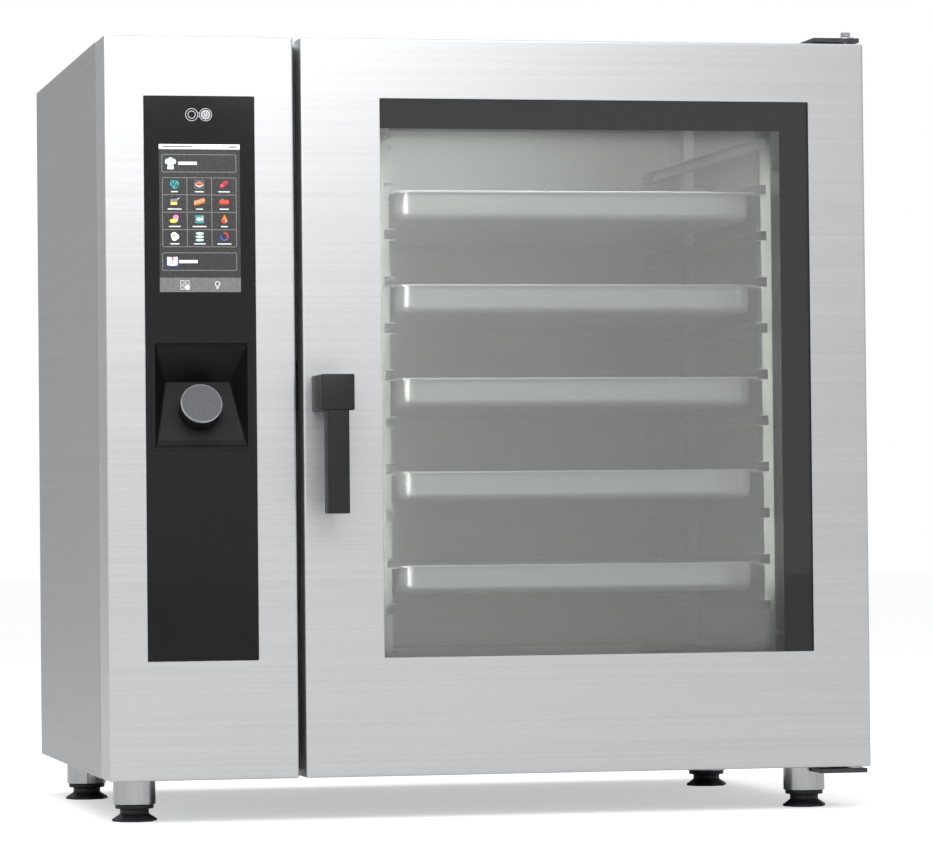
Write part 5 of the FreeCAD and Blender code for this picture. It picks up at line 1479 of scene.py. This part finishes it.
# ---- Studio ---------------------------------------------------------------------------------
@dataclass
class Studio:
    """Pale floor, soft lights and the camera."""

    floor_size: float = 60.0
    camera_place: tuple[float, float, float] = (-1.2741, -6.4166, 0.3903)
    lens_mm: float = 176.13
    yaw_deg: float = 11.588
    pitch_deg: float = -1.2605
    roll_deg: float = -0.5655

    def floor(self) -> None:
        """A large pale plane under the feet."""
        half = self.floor_size / 2
        mesh = bpy.data.meshes.new("studio_floor")
        corners = [(-half, -half, 0), (half, -half, 0), (half, half, 0), (-half, half, 0)]
        mesh.from_pydata(corners, [], [(0, 1, 2, 3)])
        # Matt white paper sweep: bright, without gloss.
        mesh.materials.append(self.paper())
        plane = bpy.data.objects.new("studio_floor", mesh)
        bpy.context.scene.collection.objects.link(plane)

    def paper(self, lift: float = 0.5) -> bpy.types.Material:
        """Matt white paper sweep, lifted towards pure white for the eye alone.

        Args:
            lift: Light added for the eye, so that the oven's own reflections stay natural.

        Returns:
            The material.
        """
        material = bpy.data.materials.new("white_paper_sweep")
        material.use_nodes = True
        tree = material.node_tree
        tree.nodes.clear()
        matt = add(tree, "BsdfDiffuse", {"Color": rgba("#E9E9E9")})
        ray = add(tree, "LightPath")
        strength = add(tree, "Math", {0: ray.outputs["Is Camera Ray"], 1: lift}, operation="MULTIPLY")
        glow = add(tree, "Emission", {"Color": rgba("#FFFFFF"), "Strength": strength.outputs[0]})
        both = add(tree, "AddShader", {0: matt.outputs[0], 1: glow.outputs[0]})
        add(tree, "OutputMaterial", {"Surface": both.outputs[0]})
        return material

    def card(self, name: str, place: tuple[float, float, float], aim: tuple[float, float, float],
             size: tuple[float, float], brightness: float) -> None:
        """A soft rectangular light of a stated brightness, unseen itself.

        Args:
            name: The light's name.
            place: Its middle.
            aim: The point it faces.
            size: Its two sides.
            brightness: Radiance; a diffuse white surface filling the view of it would show this.
        """
        lamp = bpy.data.lights.new(name, "AREA")
        lamp.shape = "RECTANGLE"
        lamp.size, lamp.size_y = size
        lamp.energy = brightness * math.pi * size[0] * size[1]
        light = bpy.data.objects.new(name, lamp)
        light.location = place
        light.rotation_euler = (Vector(aim) - Vector(place)).to_track_quat("-Z", "Y").to_euler()
        light.visible_camera = False
        bpy.context.scene.collection.objects.link(light)

    def world(self) -> None:
        """A white backdrop for the eye and a softly graded room for reflections."""
        world = bpy.data.worlds.new("studio_room")
        world.use_nodes = True
        bpy.context.scene.world = world
        tree = world.node_tree
        tree.nodes.clear()
        place = add(tree, "TexCoord")
        split = add(tree, "SeparateXYZ", {0: place.outputs["Generated"]})
        depth = spread(tree, split.outputs["Y"], 0.66, 0.42, -0.3, 0.9)
        room = add(tree, "Background", {"Color": rgba("#FFFFFF"), "Strength": depth})
        white = add(tree, "Background", {"Color": rgba("#FFFFFF"), "Strength": 1.0})
        ray = add(tree, "LightPath")
        mixed = add(tree, "MixShader", {0: ray.outputs["Is Camera Ray"], 1: room.outputs[0],
                                        2: white.outputs[0]})
        add(tree, "OutputWorld", {"Surface": mixed.outputs[0]})

    def camera(self) -> None:
        """A long lens at knee height, left of the oven, turned slightly to the right.

        The camera's right, forward and up directions are the rows of roll times pitch times yaw.
        """
        yaw, pitch, roll = (math.radians(a) for a in (self.yaw_deg, self.pitch_deg, self.roll_deg))
        turn = np.array([[math.cos(yaw), -math.sin(yaw), 0], [math.sin(yaw), math.cos(yaw), 0],
                         [0, 0, 1]])
        nod = np.array([[1, 0, 0], [0, math.cos(pitch), -math.sin(pitch)],
                        [0, math.sin(pitch), math.cos(pitch)]])
        lean = np.array([[math.cos(roll), 0, math.sin(roll)], [0, 1, 0],
                         [-math.sin(roll), 0, math.cos(roll)]])
        right, forward, up = lean @ nod @ turn
        data = bpy.data.cameras.new("studio_camera")
        data.lens = self.lens_mm
        data.sensor_width = 36.0
        data.clip_end = 200.0
        eye = bpy.data.objects.new("studio_camera", data)
        pose = Matrix(np.column_stack([right, up, -forward]).tolist()).to_4x4()
        pose.translation = Vector(self.camera_place)
        eye.matrix_world = pose
        bpy.context.scene.collection.objects.link(eye)
        bpy.context.scene.camera = eye

    def build(self) -> None:
        """Make the floor, room, lights and camera."""
        self.floor()
        self.world()
        self.camera()
        self.card("front_left_softbox", (-0.65, -2.1, 1.95), (0.0, -0.3, 0.7), (2.6, 1.7), 2.75)
        self.card("overhead_softbox", (0.0, 1.6, 3.4), (0.0, 0.6, 0.0), (5.0, 5.0), 0.85)
        self.card("cavity_lamp", (0.12, -0.26, 0.965), (0.12, 0.2, 0.1), (0.5, 0.08), 5.5)


def main() -> None:
    """Build and dress every sub-assembly."""
    logging.basicConfig(level=logging.INFO, format="%(name)s %(message)s")
    bpy.context.scene.view_settings.view_transform = "Standard"
    Studio().build()
    for assembly in (Cabinet(), ControlPanel(), Door(), Cavity()):
        assembly.build()
        assembly.dress()
        log.info("%s done", type(assembly).__name__)
    Feet().build()


if __name__ == "__main__":
    main()
